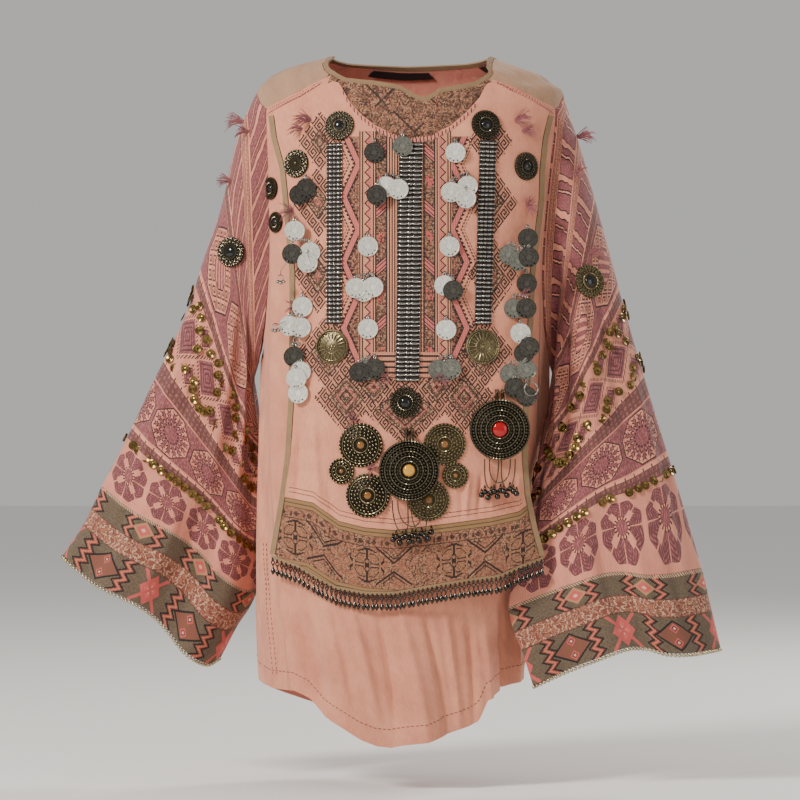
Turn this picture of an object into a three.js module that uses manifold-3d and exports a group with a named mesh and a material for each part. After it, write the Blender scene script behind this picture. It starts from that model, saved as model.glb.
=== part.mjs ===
// Embroidered tunic with bell sleeves and hung metal trims, filled out as if somebody wore it.
// Millimetres, +Z up. The front faces -Y and the wearer's right arm is at -X.
// The origin lies between the shoulders, where the wearer carries the garment.
import * as THREE from "three";
import { mergeVertices } from "three/addons/utils/BufferGeometryUtils.js";
import Module from "manifold-3d";

const CLOTH = 1.5; // thickness of a cloth wall
const BINDING_CLOTH = 2.2; // thickness of a folded binding
const SEAM = 0.3; // gap between two pieces at a seam
const BINDING_WIDTH = 6;
const APRON_LIFT = 5.2; // from the front panel's middle to the apron's
const INSET_LIFT = 2.4; // from the front panel's middle to the neck inset's
const CUFF_BANDS = [0, 43, 66, 95]; // distances above the sleeve's hem, lowest band first
const COIN = { radius: 11.8, thick: 1.2, sides: 8, wire: 1.1, ring: 4 };
const DEG = Math.PI / 180;

// A short table: each row of numbers becomes an object with the named columns.
function table(names, rows) {
  const columns = names.split(" ");
  return rows.map((row) => Object.fromEntries(columns.map((name, i) => [name, row[i]])));
}

// Straight interpolation in a table, held at its ends.
function straight(list, key, at, column) {
  const up = list[1][key] > list[0][key] ? 1 : -1;
  let i = 1;
  while (i < list.length - 1 && up * (at - list[i][key]) > 0) i += 1;
  const [a, b] = [list[i - 1], list[i]];
  const share = THREE.MathUtils.clamp((at - a[key]) / (b[key] - a[key]), 0, 1);
  return a[column] + (b[column] - a[column]) * share;
}

// Smooth interpolation through a table's rows, held at its ends.
function smooth(list, key, at, column) {
  const up = list[1][key] > list[0][key] ? 1 : -1;
  const last = list.length - 1;
  let i = 1;
  while (i < last && up * (at - list[i][key]) > 0) i += 1;
  const [a, b] = [list[i - 1], list[i]];
  const [before, after] = [list[Math.max(i - 2, 0)], list[Math.min(i + 1, last)]];
  const span = b[key] - a[key];
  const s = THREE.MathUtils.clamp((at - a[key]) / span, 0, 1);
  const slopeA = ((b[column] - before[column]) / (b[key] - before[key])) * span;
  const slopeB = ((after[column] - a[column]) / (after[key] - a[key])) * span;
  const [s2, s3] = [s * s, s * s * s];
  return (2 * s3 - 3 * s2 + 1) * a[column] + (s3 - 2 * s2 + s) * slopeA
    + (3 * s2 - 2 * s3) * b[column] + (s3 - s2) * slopeB;
}

// Body sections by height: side reach in X, depth to the front and back, and turn of the side seams.
const BODY = table("z left right front back turn", [
  [31, -78, 90, 38, 44, 0],
  [29, -86, 97, 46, 51, 0],
  [17, -133, 128, 60, 65, 0],
  [7, -157, 157, 68, 74, 0],
  [-3, -169, 170, 75, 81, 0],
  [-12, -176, 183, 80, 86, 0],
  [-35, -177, 186, 88, 94, 0],
  [-70, -175, 183, 97, 101, 0],
  [-120, -172, 176, 105, 106, 0],
  [-200, -170, 168, 113, 108, 0],
  [-330, -172, 165, 116, 104, 0],
  [-440, -175, 158, 115, 103, 4],
  [-560, -178, 148, 113, 104, 12],
  [-700, -178, 136, 112, 105, 22],
  [-790, -178, 132, 112, 105, 26],
]);

// Largest folds of the body: angle at the hem, half width, rise and the height they start at.
const BODY_FOLDS = table("angle width out top", [
  [-78, 9, 3.5, -480],
  [-58, 8, -4.5, -560],
  [-41, 8, 4.5, -540],
  [-24, 7, -4, -600],
  [-8, 6, 4.5, -590],
  [6, 6, -4.5, -570],
  [21, 8, 5, -610],
  [40, 7, -5, -600],
  [58, 9, 4, -560],
  [112, 12, 5, -520],
  [140, 11, -5, -560],
  [166, 12, 5.5, -500],
  [193, 11, -5, -540],
  [221, 12, 5, -520],
  [248, 11, -4.5, -560],
]);

// Neck edge by angle round the body: 0 is the front, 90 the wearer's left shoulder, 180 the back.
const NECK = table("angle z", [
  [-90, 29], [-65, 27], [-53, 23], [-42, 16], [-32, 6], [-25, -2], [-13, -6], [-4, -11], [1, -21], [4.5, -26],
  [8, -21], [10.5, -15], [18, -11], [26, -7], [33, 1], [42, 13], [53, 21], [65, 26], [90, 28.5],
  [115, 27], [140, 24], [180, 22], [220, 24], [245, 27], [270, 29],
]);

// Lower edge of a yoke by angle from the front, over the shoulder to the back: seam, armhole, seam.
const YOKE_LOW = table("angle z", [
  [33.6, 0], [45, -16], [57, -27], [69, -35], [79, -21], [90, -10], [101, -21], [111, -35],
  [125, -20], [137, -3], [146, 12],
]);

// Armhole seam by direction round the sleeve: 0 the shoulder, 90 the front, 180 the underarm.
const ARMHOLE = table("way angle z", [
  [0, 90, -10], [18, 79, -21], [38, 69, -35], [62, 69.3, -90], [90, 69.8, -160], [116, 71, -230],
  [140, 75, -290], [160, 82, -320], [180, 90, -333],
]);

// The hem by angle as it hangs, which is turned from the panels' own angle by the turn of the seams.
const HEM_TURN = 24;
const HEM = table("angle z", [
  [-90, -700], [-56, -713], [-43, -715], [-36, -723], [-28, -744], [-19, -757], [-12, -770], [-6, -777],
  [0, -779], [6, -776], [16, -773], [26, -764], [36, -756], [41, -750], [46, -726], [54, -719], [62, -713],
  [90, -702], [120, -716], [150, -744], [180, -760], [210, -746], [240, -722], [270, -700],
]);

// Apron: upper edge (yoke seam and scooped neckline) by X, its side edges by Z, the top of its
// border band and its lower edge by X.
const APRON_TOP = table("x z", [
  [-164, -42], [-124, -24], [-86, -6], [-79, -8], [-75, -15], [-66, -31], [-53, -46], [-37, -59], [-15, -70],
  [5, -74], [29, -70], [51, -59], [69, -43], [84, -26], [92, -10], [98, -7], [140, -25], [172, -42],
]);
const APRON_SIDES = table("z left right", [
  [0, -162, 173], [-42, -162, 172], [-71, -158, 165], [-107, -148, 161], [-145, -144, 160], [-228, -136, 149],
  [-300, -136, 145.5], [-376, -137, 141], [-442, -141, 139], [-487, -147, 142.5], [-527, -154, 151],
  [-556, -159, 159], [-620, -163, 166],
]);
const BORDER_TOP = table("x z", [
  [-150, -488], [-108, -496], [-78, -517], [-49, -524], [-15, -527], [18, -523], [51, -519], [96, -513],
  [129, -506], [150, -490],
]);
const APRON_LOW = table("x z", [
  [-160, -556], [-126, -567], [-104, -580], [-82, -591], [-48, -597], [-15, -597], [29, -589], [73, -582],
  [107, -578], [129, -568], [160, -557],
]);

// Sleeve rings from the shoulder to the hem. The outer and inner points are the two edges seen from
// the front, each with its own Y, and half is the half depth. above is the distance to the hem.
const RIGHT_ARM = table("above outX outZ outY inX inZ inY half", [
  [560, -191, -42, 0, -181, -350, 8, 42],
  [520, -204, -84, 0, -182, -368, 20, 45],
  [455, -219, -149, 2, -180, -402, 31, 46],
  [385, -241, -214, 4, -177, -440, 38, 45],
  [320, -262, -278, 6, -175, -478, 42, 43],
  [235, -301, -358, 8, -174, -520, 44, 41],
  [150, -335, -430, 10, -174, -560, 46, 40],
  [95, -361, -479, 12, -178, -600, 46, 39],
  [66, -373, -505, 12, -188, -624, 44, 39],
  [43, -383, -525, 13, -202, -645, 40, 40],
  [0, -407, -561, 14, -222, -683, 34, 42],
]);
const LEFT_ARM = table("above outX outZ outY inX inZ inY half", [
  [600, 192, -42, 0, 174, -352, -10, 42],
  [555, 205, -80, 0, 170, -368, -22, 44],
  [480, 223, -145, -2, 166, -400, -36, 43],
  [420, 239, -204, -6, 158, -432, -48, 41],
  [345, 256, -270, -12, 150, -466, -60, 38],
  [250, 283, -364, -20, 142, -506, -68, 36],
  [175, 306, -441, -28, 132, -548, -74, 35],
  [125, 325, -505, -34, 123, -588, -78, 35],
  [95, 345, -574, -38, 119, -618, -80, 35],
  [66, 352, -603, -40, 125, -646, -82, 36],
  [43, 357, -625, -41, 134, -668, -83, 37],
  [0, 367, -667, -42, 147, -708, -84, 39],
]);

// How far the hem of each sleeve hangs below the straight line between its two edges, by the share
// of the width from the inner edge, and the waves of its cuff: direction, half width and rise.
const RIGHT_HEM = table("share drop", [
  [0, 0], [0.07, 15], [0.16, 18], [0.24, 15], [0.37, 1], [0.5, -3], [0.8, 5], [1, 0],
]);
const LEFT_HEM = table("share drop", [
  [0, 0], [0.13, -8], [0.29, -16], [0.48, -24], [0.6, -19], [0.7, -9], [0.83, -3], [1, 0],
]);
const RIGHT_WAVES = table("way width out start", [
  [132, 13, 9, 420], [108, 13, -9, 260], [72, 16, 7, 240], [45, 14, -5, 200],
  [228, 18, 8, 300], [262, 18, -8, 260], [300, 18, 7, 240],
]);
const LEFT_WAVES = table("way width out start", [
  [128, 14, -7, 260], [103, 12, 9, 300], [80, 10, -9, 280], [52, 14, 7, 260],
  [232, 18, 8, 300], [264, 18, -8, 260], [302, 18, 7, 240],
]);

// Rows of silver bars: X at the top and foot, the two heights, width and number of bars.
const BAR_STRIPS = table("topX footX top foot width bars", [
  [-84, -84, -79, -289, 20, 41],
  [4.6, 0, -79, -356, 29, 54],
  [94, 87.5, -76, -290, 21, 42],
]);

// Round bosses on the apron: place and radius. Brass discs follow the filigree ones.
const APRON_BOSSES = table("x z radius", [
  [-78, -59, 17.4], [-128, -102, 16.5], [91, -58, 17.4], [138, -105, 16.5], [-2, -380, 17.6],
]);
const BRASS_DISCS = table("x z radius", [[-86, -315.5, 19.7], [87, -315.5, 20.6]]);
// Discs round the middle pendant; two small ones are fixed to the rims of their larger neighbours.
const LOW_DISCS = table("disc x z radius lift", [
  [1, -53, -429, 25.5, 0], [1, -75, -459, 15, 0.8],
  [2, 43, -428, 24.4, 0], [2, 55.5, -464, 15, 0.8],
  [3, -45, -487, 25.5, 0],
  [4, 24.4, -492, 24.4, 0],
]);
const SLEEVE_BOSSES = table("side way above radius", [[-1, 62, 470, 17.5], [1, 62, 450, 19.7]]);

// Pendants: centre, radius, how far they stand off, and the bells under them.
const PENDANTS = table("x z radius lift bailZ bells bellX bellZ spread", [
  [2.3, -458, 35, 6.2, -411, 7, 6, -535, 44],
  [107, -411, 35, 1.2, -366, 6, 106, -484, 40],
]);

// Coin drops: each row is one coin, its drop's number and its layer away from the cloth.
const COINS = table("drop x z layer", [
  [1, -5, -84, 0],
  [2, -38, -91, 0],
  [3, -24, -131, 0], [3, -10, -134, 1], [3, -35, -141, 2],
  [4, -45, -200, 0],
  [5, -59, -248, 1], [5, -50, -252, 0], [5, -39, -247, 1],
  [6, -45, -295, 0],
  [7, -55, -345, 1], [7, -45, -342, 0], [7, -37, -341, 1],
  [8, 56, -91, 0],
  [9, 51, -137, 0], [9, 70, -130, 0], [9, 68, -144, 1],
  [10, 49, -200, 0],
  [11, 43, -245, 0], [11, 53, -251, 1],
  [12, 45, -296, 0],
  [13, 36, -342, 1], [13, 44, -345, 0], [13, 51, -341, 1],
  [14, -125, -139, 0], [14, -117, -132, 1],
  [15, -130, -181, 0], [15, -133, -208, 0], [15, -112, -206, 0], [15, -115, -218, 1],
  [16, -121, -269, 0], [16, -136, -291, 0], [16, -123, -293, 1],
  [17, -131, -327, 0], [17, -123, -344, 1], [17, -128, -352, 2], [17, -126, -369, 1],
  [18, 140, -190, 0], [18, 118, -209, 0], [18, 129, -216, 1], [18, 141, -212, 2],
  [19, 139, -242, 0],
  [20, 124, -271, 0], [20, 138, -271, 1],
  [21, 131, -300, 0], [21, 135, -323, 1], [21, 141, -316, 2], [21, 119, -347, 0], [21, 138, -342, 1],
  [21, 124, -363, 1], [21, 138, -373, 2],
]);

const FRINGE = { strands: 60, drop: 21, radius: 2.2, tape: 4 };

const wasm = await Module();
wasm.setup();

// The geometry with its shared points merged, and its faces turned to point out.
function closed(geometry) {
  geometry.deleteAttribute("normal");
  geometry.deleteAttribute("uv");
  const merged = mergeVertices(geometry, 1e-4);
  const [points, index] = [merged.attributes.position, merged.index.array];
  const corner = (i) => new THREE.Vector3().fromBufferAttribute(points, i);
  let volume = 0;
  for (let i = 0; i < index.length; i += 3) {
    volume += corner(index[i]).dot(corner(index[i + 1]).cross(corner(index[i + 2])));
  }
  if (volume < 0) index.reverse();
  merged.computeVertexNormals();
  return merged;
}

// One solid from several that overlap or touch.
function joined(geometries) {
  const solids = geometries.map((geometry) => {
    const shape = closed(geometry);
    const mesh = { numProp: 3, vertProperties: shape.attributes.position.array };
    return new wasm.Manifold(new wasm.Mesh({ ...mesh, triVerts: new Uint32Array(shape.index.array) }));
  });
  const mesh = solids.reduce((all, next) => all.add(next)).getMesh();
  const shape = new THREE.BufferGeometry();
  shape.setAttribute("position", new THREE.BufferAttribute(new Float32Array(mesh.vertProperties), 3));
  shape.setIndex(new THREE.BufferAttribute(new Uint32Array(mesh.triVerts), 1));
  shape.computeVertexNormals();
  return shape;
}

// A cloth wall from a grid of middle points, thickened both ways along the points' normals, or the
// grid's own. A tube's grid joins its last column to its first.
function wall(grid, thick, tube = false) {
  const [columns, rows] = [grid.length, grid[0].length];
  const at = (i, j) => {
    const column = tube ? (i + columns) % columns : THREE.MathUtils.clamp(i, 0, columns - 1);
    return grid[column][THREE.MathUtils.clamp(j, 0, rows - 1)];
  };
  const points = [];
  for (const side of [1, -1]) {
    for (let i = 0; i < columns; i += 1) {
      for (let j = 0; j < rows; j += 1) {
        const across = at(i + 1, j).clone().sub(at(i - 1, j));
        const down = at(i, j + 1).clone().sub(at(i, j - 1));
        const normal = at(i, j).normal ?? down.cross(across).normalize();
        points.push(at(i, j).clone().addScaledVector(normal, (side * thick) / 2));
      }
    }
  }
  const faces = [];
  const quad = (a, b, c, d) => faces.push(a, b, c, a, c, d);
  const id = (layer, i, j) => layer * columns * rows + (i % columns) * rows + j;
  const cells = tube ? columns : columns - 1;
  for (let i = 0; i < cells; i += 1) {
    for (let j = 0; j < rows - 1; j += 1) {
      quad(id(0, i, j), id(0, i, j + 1), id(0, i + 1, j + 1), id(0, i + 1, j));
      quad(id(1, i, j), id(1, i + 1, j), id(1, i + 1, j + 1), id(1, i, j + 1));
    }
    quad(id(0, i, 0), id(0, i + 1, 0), id(1, i + 1, 0), id(1, i, 0));
    const end = rows - 1;
    quad(id(0, i, end), id(1, i, end), id(1, i + 1, end), id(0, i + 1, end));
  }
  if (!tube) {
    for (let j = 0; j < rows - 1; j += 1) {
      quad(id(0, 0, j), id(1, 0, j), id(1, 0, j + 1), id(0, 0, j + 1));
      const end = columns - 1;
      quad(id(0, end, j), id(0, end, j + 1), id(1, end, j + 1), id(1, end, j));
    }
  }
  const shape = new THREE.BufferGeometry().setFromPoints(points);
  shape.setIndex(faces);
  return closed(shape);
}

// A grid of points from a function of two shares, with even or given columns.
function gridOf(columns, rows, point) {
  const list = Array.isArray(columns) ? columns : evenly(0, 1, columns);
  return list.map((u) => evenly(0, 1, rows).map((v) => point(u, v)));
}

function evenly(from, to, steps) {
  return Array.from({ length: steps + 1 }, (_, i) => from + ((to - from) * i) / steps);
}

// A table's own keys between two limits, with more between those that lie further apart than a step.
function keysOf(list, key, from, to, step) {
  const inside = list.map((row) => row[key]).filter((value) => value > from + 0.4 && value < to - 0.4);
  const keys = [from, ...inside, to];
  return keys.flatMap((value, i) => {
    if (i === keys.length - 1) return [value];
    const pieces = Math.ceil((keys[i + 1] - value) / step);
    return evenly(value, keys[i + 1], pieces).slice(0, -1);
  });
}

// A smooth hump, 1 at its middle and 0 from one half width away.
function hump(distance, width) {
  const share = Math.min(Math.abs(distance) / width, 1);
  return 0.5 + 0.5 * Math.cos(Math.PI * share);
}

function foldRise(angle, z) {
  return BODY_FOLDS.reduce((sum, fold) => {
    const away = THREE.MathUtils.euclideanModulo(angle - fold.angle + 180, 360) - 180;
    const grown = THREE.MathUtils.smoothstep(fold.top - z, 0, 130);
    return sum + fold.out * grown * hump(away, fold.width * 1.5);
  }, 0);
}

// The body's surface at an angle round it and a height.
function body(angle, z) {
  const [left, right] = [smooth(BODY, "z", z, "left"), smooth(BODY, "z", z, "right")];
  const turned = (angle + smooth(BODY, "z", z, "turn")) * DEG;
  const depth = smooth(BODY, "z", z, Math.cos(turned) > 0 ? "front" : "back");
  const rise = foldRise(angle, z);
  return new THREE.Vector3(
    (left + right) / 2 + ((right - left) / 2 + rise) * Math.sin(turned),
    -(depth + rise) * Math.cos(turned),
    z,
  );
}

// The body's surface moved out along its normal, which the point keeps for the wall made there.
function bodyOut(angle, z, out = 0) {
  const across = body(angle + 0.5, z).sub(body(angle - 0.5, z));
  const down = body(angle, z - 1).sub(body(angle, z + 1));
  const normal = down.cross(across).normalize();
  const point = body(angle, z).addScaledVector(normal, out);
  point.normal = normal;
  return point;
}

// The height that lies a distance down the cloth from a height.
function below(angle, z, distance) {
  const step = 0.1;
  let [low, gone] = [z, 0];
  while (gone < distance) {
    gone += body(angle, low).distanceTo(body(angle, low - step));
    low -= step;
  }
  return low;
}

const neckAt = (angle) => straight(NECK, "angle", angle > 270 ? angle - 360 : angle, "z");
const underBinding = (angle) => below(angle, neckAt(angle), BINDING_WIDTH + 2 * SEAM);

// The lower edge of a yoke, the same on both shoulders, and never above the neck binding.
function yokeLow(angle) {
  const side = angle > 180 ? angle - 360 : angle;
  return Math.min(straight(YOKE_LOW, "angle", Math.abs(side), "z"), underBinding(angle) - 2.2);
}

// The armhole's height by angle, below its foremost point.
const LOW_ARMHOLE = ARMHOLE.slice(2);
const armholeZ = (fromFront) => straight(LOW_ARMHOLE, "angle", fromFront, "z");

const YOKE_START = YOKE_LOW[0].angle;
const YOKE_END = YOKE_LOW.at(-1).angle;
const ARMHOLE_FRONT = ARMHOLE[2].angle;
const YOKE_COLUMNS = keysOf(YOKE_LOW, "angle", YOKE_START, YOKE_END, 7.5);

// The upper edge of the front or back panel, by the angle away from its middle.
function panelTop(angle, away, seamStart) {
  if (away < seamStart) return underBinding(angle);
  if (away < ARMHOLE_FRONT) return below(angle, yokeLow(angle), SEAM);
  return armholeZ(Math.min(away, 90));
}

function hemZ(angle) {
  const hung = angle + HEM_TURN;
  return straight(HEM, "angle", hung > 270 ? hung - 360 : hung, "z");
}

// Shares of a panel's height: close together over the shoulders and where the hem's folds grow.
const PANEL_ROWS = [0, 0.025, 0.06, 0.13, 0.27, 0.48, 0.68, 0.84, 1];

// One body panel: its columns follow the corners of its neck, seams and hem.
function bodyPanel(middle, seamStart) {
  const edge = 90 - 0.1;
  const corners = NECK.map((row) => row.angle - middle).filter((offset) => Math.abs(offset) < seamStart);
  const seams = YOKE_COLUMNS.map((angle) => (middle ? 180 - angle : angle));
  const seamCorners = seams.filter((offset) => offset >= seamStart && offset <= ARMHOLE_FRONT);
  corners.push(...seamCorners, ...seamCorners.map((offset) => -offset));
  const hem = HEM.map((row) => row.angle - HEM_TURN - middle).filter(
    (offset) => Math.abs(offset) < seamStart - 3 && corners.every((corner) => Math.abs(corner - offset) > 3));
  const inside = [...corners, ...hem].sort((a, b) => a - b);
  const filled = inside.flatMap((offset, i) => {
    const next = inside[i + 1] ?? offset;
    return evenly(offset, next, Math.ceil(Math.abs(next - offset) / 9) || 1).slice(0, -1);
  });
  const armhole = LOW_ARMHOLE.slice(1, -1).map((row) => row.angle);
  const mirrored = armhole.map((offset) => -offset).reverse();
  const columns = [-edge, ...mirrored, ...filled, inside.at(-1), ...armhole, edge];
  return columns.map((offset) => {
    const angle = middle + offset;
    const top = panelTop(angle, Math.abs(offset), seamStart);
    const bottom = hemZ(angle);
    return PANEL_ROWS.map((v) => bodyOut(angle, top + (bottom - top) * v));
  });
}

function yoke(side) {
  const columns = [YOKE_START + 0.6, ...YOKE_COLUMNS.slice(1, -1), YOKE_END - 0.6];
  const grid = columns.map((fromFront) => {
    const angle = side > 0 ? fromFront : 360 - fromFront;
    const top = below(angle, neckAt(angle), BINDING_WIDTH + 3 * SEAM);
    const low = yokeLow(angle);
    return evenly(0, 1, 3).map((v) => bodyOut(angle, top + (low - top) * v));
  });
  return wall(grid, CLOTH);
}

function neckBinding() {
  const angles = keysOf(NECK, "angle", -90, 270, 18).slice(0, -1);
  const grid = angles.map((angle) => [0, 1].map(
    (share) => bodyOut(angle, below(angle, neckAt(angle), BINDING_WIDTH * share))));
  return wall(grid, BINDING_CLOTH, true);
}

function neckInset() {
  const grid = keysOf(NECK, "angle", -32, 33, 8).map((angle) => {
    const top = underBinding(angle);
    const neckline = straight(APRON_TOP, "x", body(angle, -50).x, "z");
    const low = Math.min(neckline - 9, top - 4);
    return evenly(0, 1, 3).map((v) => bodyOut(angle, top + (low - top) * v, INSET_LIFT));
  });
  return wall(grid, CLOTH - 0.2);
}

// The front of the body at a place, and the apron that lies on it above and hangs free below.
function frontY(x, z) {
  const [left, right] = [smooth(BODY, "z", z, "left"), smooth(BODY, "z", z, "right")];
  const share = (x - (left + right) / 2) / ((right - left) / 2);
  return -smooth(BODY, "z", z, "front") * Math.sqrt(Math.max(1 - share * share, 0.03));
}

function apronY(x, z) {
  const slopeX = (frontY(x + 1, z) - frontY(x - 1, z)) / 2;
  const slopeZ = (frontY(x, z + 1) - frontY(x, z - 1)) / 2;
  const close = frontY(x, z) - APRON_LIFT * Math.min(Math.hypot(1, slopeX, slopeZ), 2);
  const reach = x < 0 ? 205 : 250;
  const free = -(smooth(BODY, "z", z, "front") + 9) * Math.sqrt(1 - (x / reach) ** 2);
  const hang = THREE.MathUtils.smoothstep(-z, 90, 430);
  return close + (free - close) * hang;
}

const apronPoint = (x, z) => new THREE.Vector3(x, apronY(x, z), z);
const apronTop = (x) => straight(APRON_TOP, "x", x, "z");

// The apron's grid between two edges given by X, held inside its side edges by a margin.
function apronGrid(columns, rows, topOf, lowOf, margin) {
  const across = (u, z) => {
    const left = straight(APRON_SIDES, "z", z, "left") + margin;
    return left + (straight(APRON_SIDES, "z", z, "right") - margin - left) * u;
  };
  const settle = (u, edge) => {
    let z = -60;
    for (let turn = 0; turn < 12; turn += 1) z = edge(across(u, z));
    return z;
  };
  return gridOf(columns, rows, (u, v) => {
    const top = settle(u, topOf);
    const z = top + (settle(u, lowOf) - top) * v;
    return apronPoint(across(u, z), z);
  });
}

const borderTop = (x) => straight(BORDER_TOP, "x", x, "z");
const apronLow = (x) => straight(APRON_LOW, "x", x, "z");

function apronBinding(side) {
  const column = side < 0 ? "left" : "right";
  const edge = (z) => straight(APRON_SIDES, "z", z, column);
  const [topZ, lowZ] = [-44, apronLow(side * 158)];
  const grid = gridOf([0, 1], 15, (u, v) => {
    const z = topZ + (lowZ - topZ) * v;
    return apronPoint(edge(z) - side * BINDING_WIDTH * (side < 0 ? u : 1 - u), z);
  });
  return wall(grid, BINDING_CLOTH);
}

// One sleeve's surface by direction and distance above its hem.
function sleevePoint(arm, way, above) {
  const { rings, hem, waves, side } = arm;
  const highest = rings[0].above;
  const share = (1 + Math.cos(way * DEG)) / 2;
  const read = (column, at) => smooth(rings, "above", at, column);
  const ringPoint = (at) => {
    const mix = (name) => read(`in${name}`, at) + (read(`out${name}`, at) - read(`in${name}`, at)) * share;
    const thin = side > 0 && way < 180 ? 0.3 + 0.7 * Math.min(share * 1.6, 1) : 1;
    const rise = waves.reduce((sum, wave) => {
      const grown = THREE.MathUtils.smoothstep(wave.start - at, 0, wave.start);
      return sum + wave.out * grown * hump(way - wave.way, wave.width * 1.5);
    }, 0);
    const forward = Math.sin(way * DEG) * read("half", at) * thin;
    const drop = smooth(hem, "share", share, "drop") * THREE.MathUtils.smoothstep(300 - at, 0, 300);
    const wavy = forward + rise * Math.sign(Math.sin(way * DEG)) * thin;
    return new THREE.Vector3(mix("X"), mix("Y") - wavy, mix("Z") - drop);
  };
  if (above <= highest) return ringPoint(above);
  return armholePoint(side, way);
}

// The sleeve's first ring: the armhole seam, drawn in a little and stood off the body.
function armholePoint(side, way) {
  const front = way <= 180;
  const mirrored = front ? way : 360 - way;
  const fromFront = straight(ARMHOLE, "way", mirrored, "angle");
  const z = straight(ARMHOLE, "way", mirrored, "z");
  const angle = side * (front ? fromFront : 180 - fromFront);
  const point = body(angle, z);
  const middle = new THREE.Vector3(body(side * 90, -170).x, 0, -170);
  const under = hump(mirrored - 180, 75);
  point.addScaledVector(middle.sub(point).normalize(), 1.7);
  point.x += side * (0.7 + 2.4 * under);
  return point;
}

function sleeveWall(arm, levels) {
  const ways = evenly(0, 360, 24).slice(0, -1);
  return wall(ways.map((way) => levels.map((above) => sleevePoint(arm, way, above))), CLOTH, true);
}

const ARMS = [
  { name: "right", side: -1, rings: RIGHT_ARM, hem: RIGHT_HEM, waves: RIGHT_WAVES },
  { name: "left", side: 1, rings: LEFT_ARM, hem: LEFT_HEM, waves: LEFT_WAVES },
];

// A round boss: a raised rim, a ring of open work and a domed middle.
function boss(radius, sides, thick) {
  const profile = [
    [0, 0], [radius, 0], [radius, thick * 0.6], [radius * 0.55, thick * 0.7], [radius * 0.42, thick],
    [0, thick * 1.25],
  ].map(([r, h]) => new THREE.Vector2(r, h));
  return new THREE.LatheGeometry(profile, sides);
}

// Turns a shape whose front is +Y to face a normal, and moves it to a point.
function placed(shape, point, normal) {
  const turn = new THREE.Quaternion().setFromUnitVectors(new THREE.Vector3(0, 1, 0), normal);
  shape.applyQuaternion(turn);
  shape.translate(point.x, point.y, point.z);
  return shape;
}

// The apron's outward normal over the width of a trim, and a seat for a flat trim on it.
function apronSeat(x, z, radius, lift) {
  const across = apronPoint(x + radius, z).sub(apronPoint(x - radius, z));
  const down = apronPoint(x, z - radius).sub(apronPoint(x, z + radius));
  const normal = down.cross(across).normalize();
  const point = apronPoint(x, z).addScaledVector(normal, CLOTH / 2 + SEAM + 0.25 + lift);
  return { point, normal };
}

function apronBoss({ x, z, radius, lift = 0 }, thick) {
  const { point, normal } = apronSeat(x, z, radius, lift);
  return placed(boss(radius, 12, thick), point, normal);
}

// A row of bars sewn side by side: one ridge for each bar, on a backing that follows the apron.
function barStrip({ topX, footX, top, foot, width, bars }) {
  const [backing, ridge, hollow] = [0, 3.2, 2.1];
  const middle = (z) => topX + ((footX - topX) * (top - z)) / (top - foot);
  const away = (z, h) => -apronY(middle(z), z) + CLOTH / 2 + SEAM + 0.7 + h;
  const outline = evenly(foot, top, bars * 2).map(
    (z, i) => new THREE.Vector2(z, away(z, i % 2 ? ridge : hollow)));
  outline.push(...evenly(top, foot, 8).map((z) => new THREE.Vector2(z, away(z, backing))));
  const shape = new THREE.ExtrudeGeometry(new THREE.Shape(outline), { depth: width, bevelEnabled: false });
  const [centreX, middleZ] = [(topX + footX) / 2, (top + foot) / 2];
  const slope = (apronY(centreX + width / 2, middleZ) - apronY(centreX - width / 2, middleZ)) / width;
  const lean = (topX - footX) / (top - foot);
  // Shape X is the height, shape Y the distance to the front and the extrusion runs across.
  const frame = new THREE.Matrix4().set(
    lean, 0, 1, centreX - width / 2 - lean * middleZ,
    0, -1, slope, -slope * (width / 2),
    1, 0, 0, 0,
    0, 0, 0, 1,
  );
  shape.applyMatrix4(frame);
  return closed(shape);
}

// A straight wire of square section between two points.
function wire(from, to, thick) {
  const length = from.distanceTo(to);
  const shape = new THREE.BoxGeometry(thick, length, thick);
  const middle = from.clone().add(to).multiplyScalar(0.5);
  return placed(shape, middle, to.clone().sub(from).normalize());
}

const STRIP_RISE = 4.1; // from the apron's face to clear of a bar strip
const BOSS_RISE = 6; // and to clear of a boss
const RIM_RISE = 3.7; // and of its flatter rim

// The foremost fixed surface at a place: the apron, its bindings, a bar strip or a boss.
function foremost(x, z) {
  const cloth = apronY(x, z) - CLOTH / 2;
  let y = x < -128 || x > 131 ? apronY(x, z) - BINDING_CLOTH / 2 : cloth;
  for (const { topX, footX, top, foot, width } of BAR_STRIPS) {
    const middle = topX + ((footX - topX) * (top - z)) / (top - foot);
    const beside = Math.abs(x - middle) < width / 2 + 1;
    if (beside && z < top + 1 && z > foot - 1) y = Math.min(y, cloth - STRIP_RISE);
  }
  for (const disc of [...APRON_BOSSES, ...BRASS_DISCS]) {
    const away = Math.hypot(x - disc.x, z - disc.z);
    const rise = away < disc.radius * 0.6 ? BOSS_RISE : RIM_RISE;
    if (away < disc.radius + 1) y = Math.min(y, cloth - rise);
  }
  return y;
}

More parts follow.
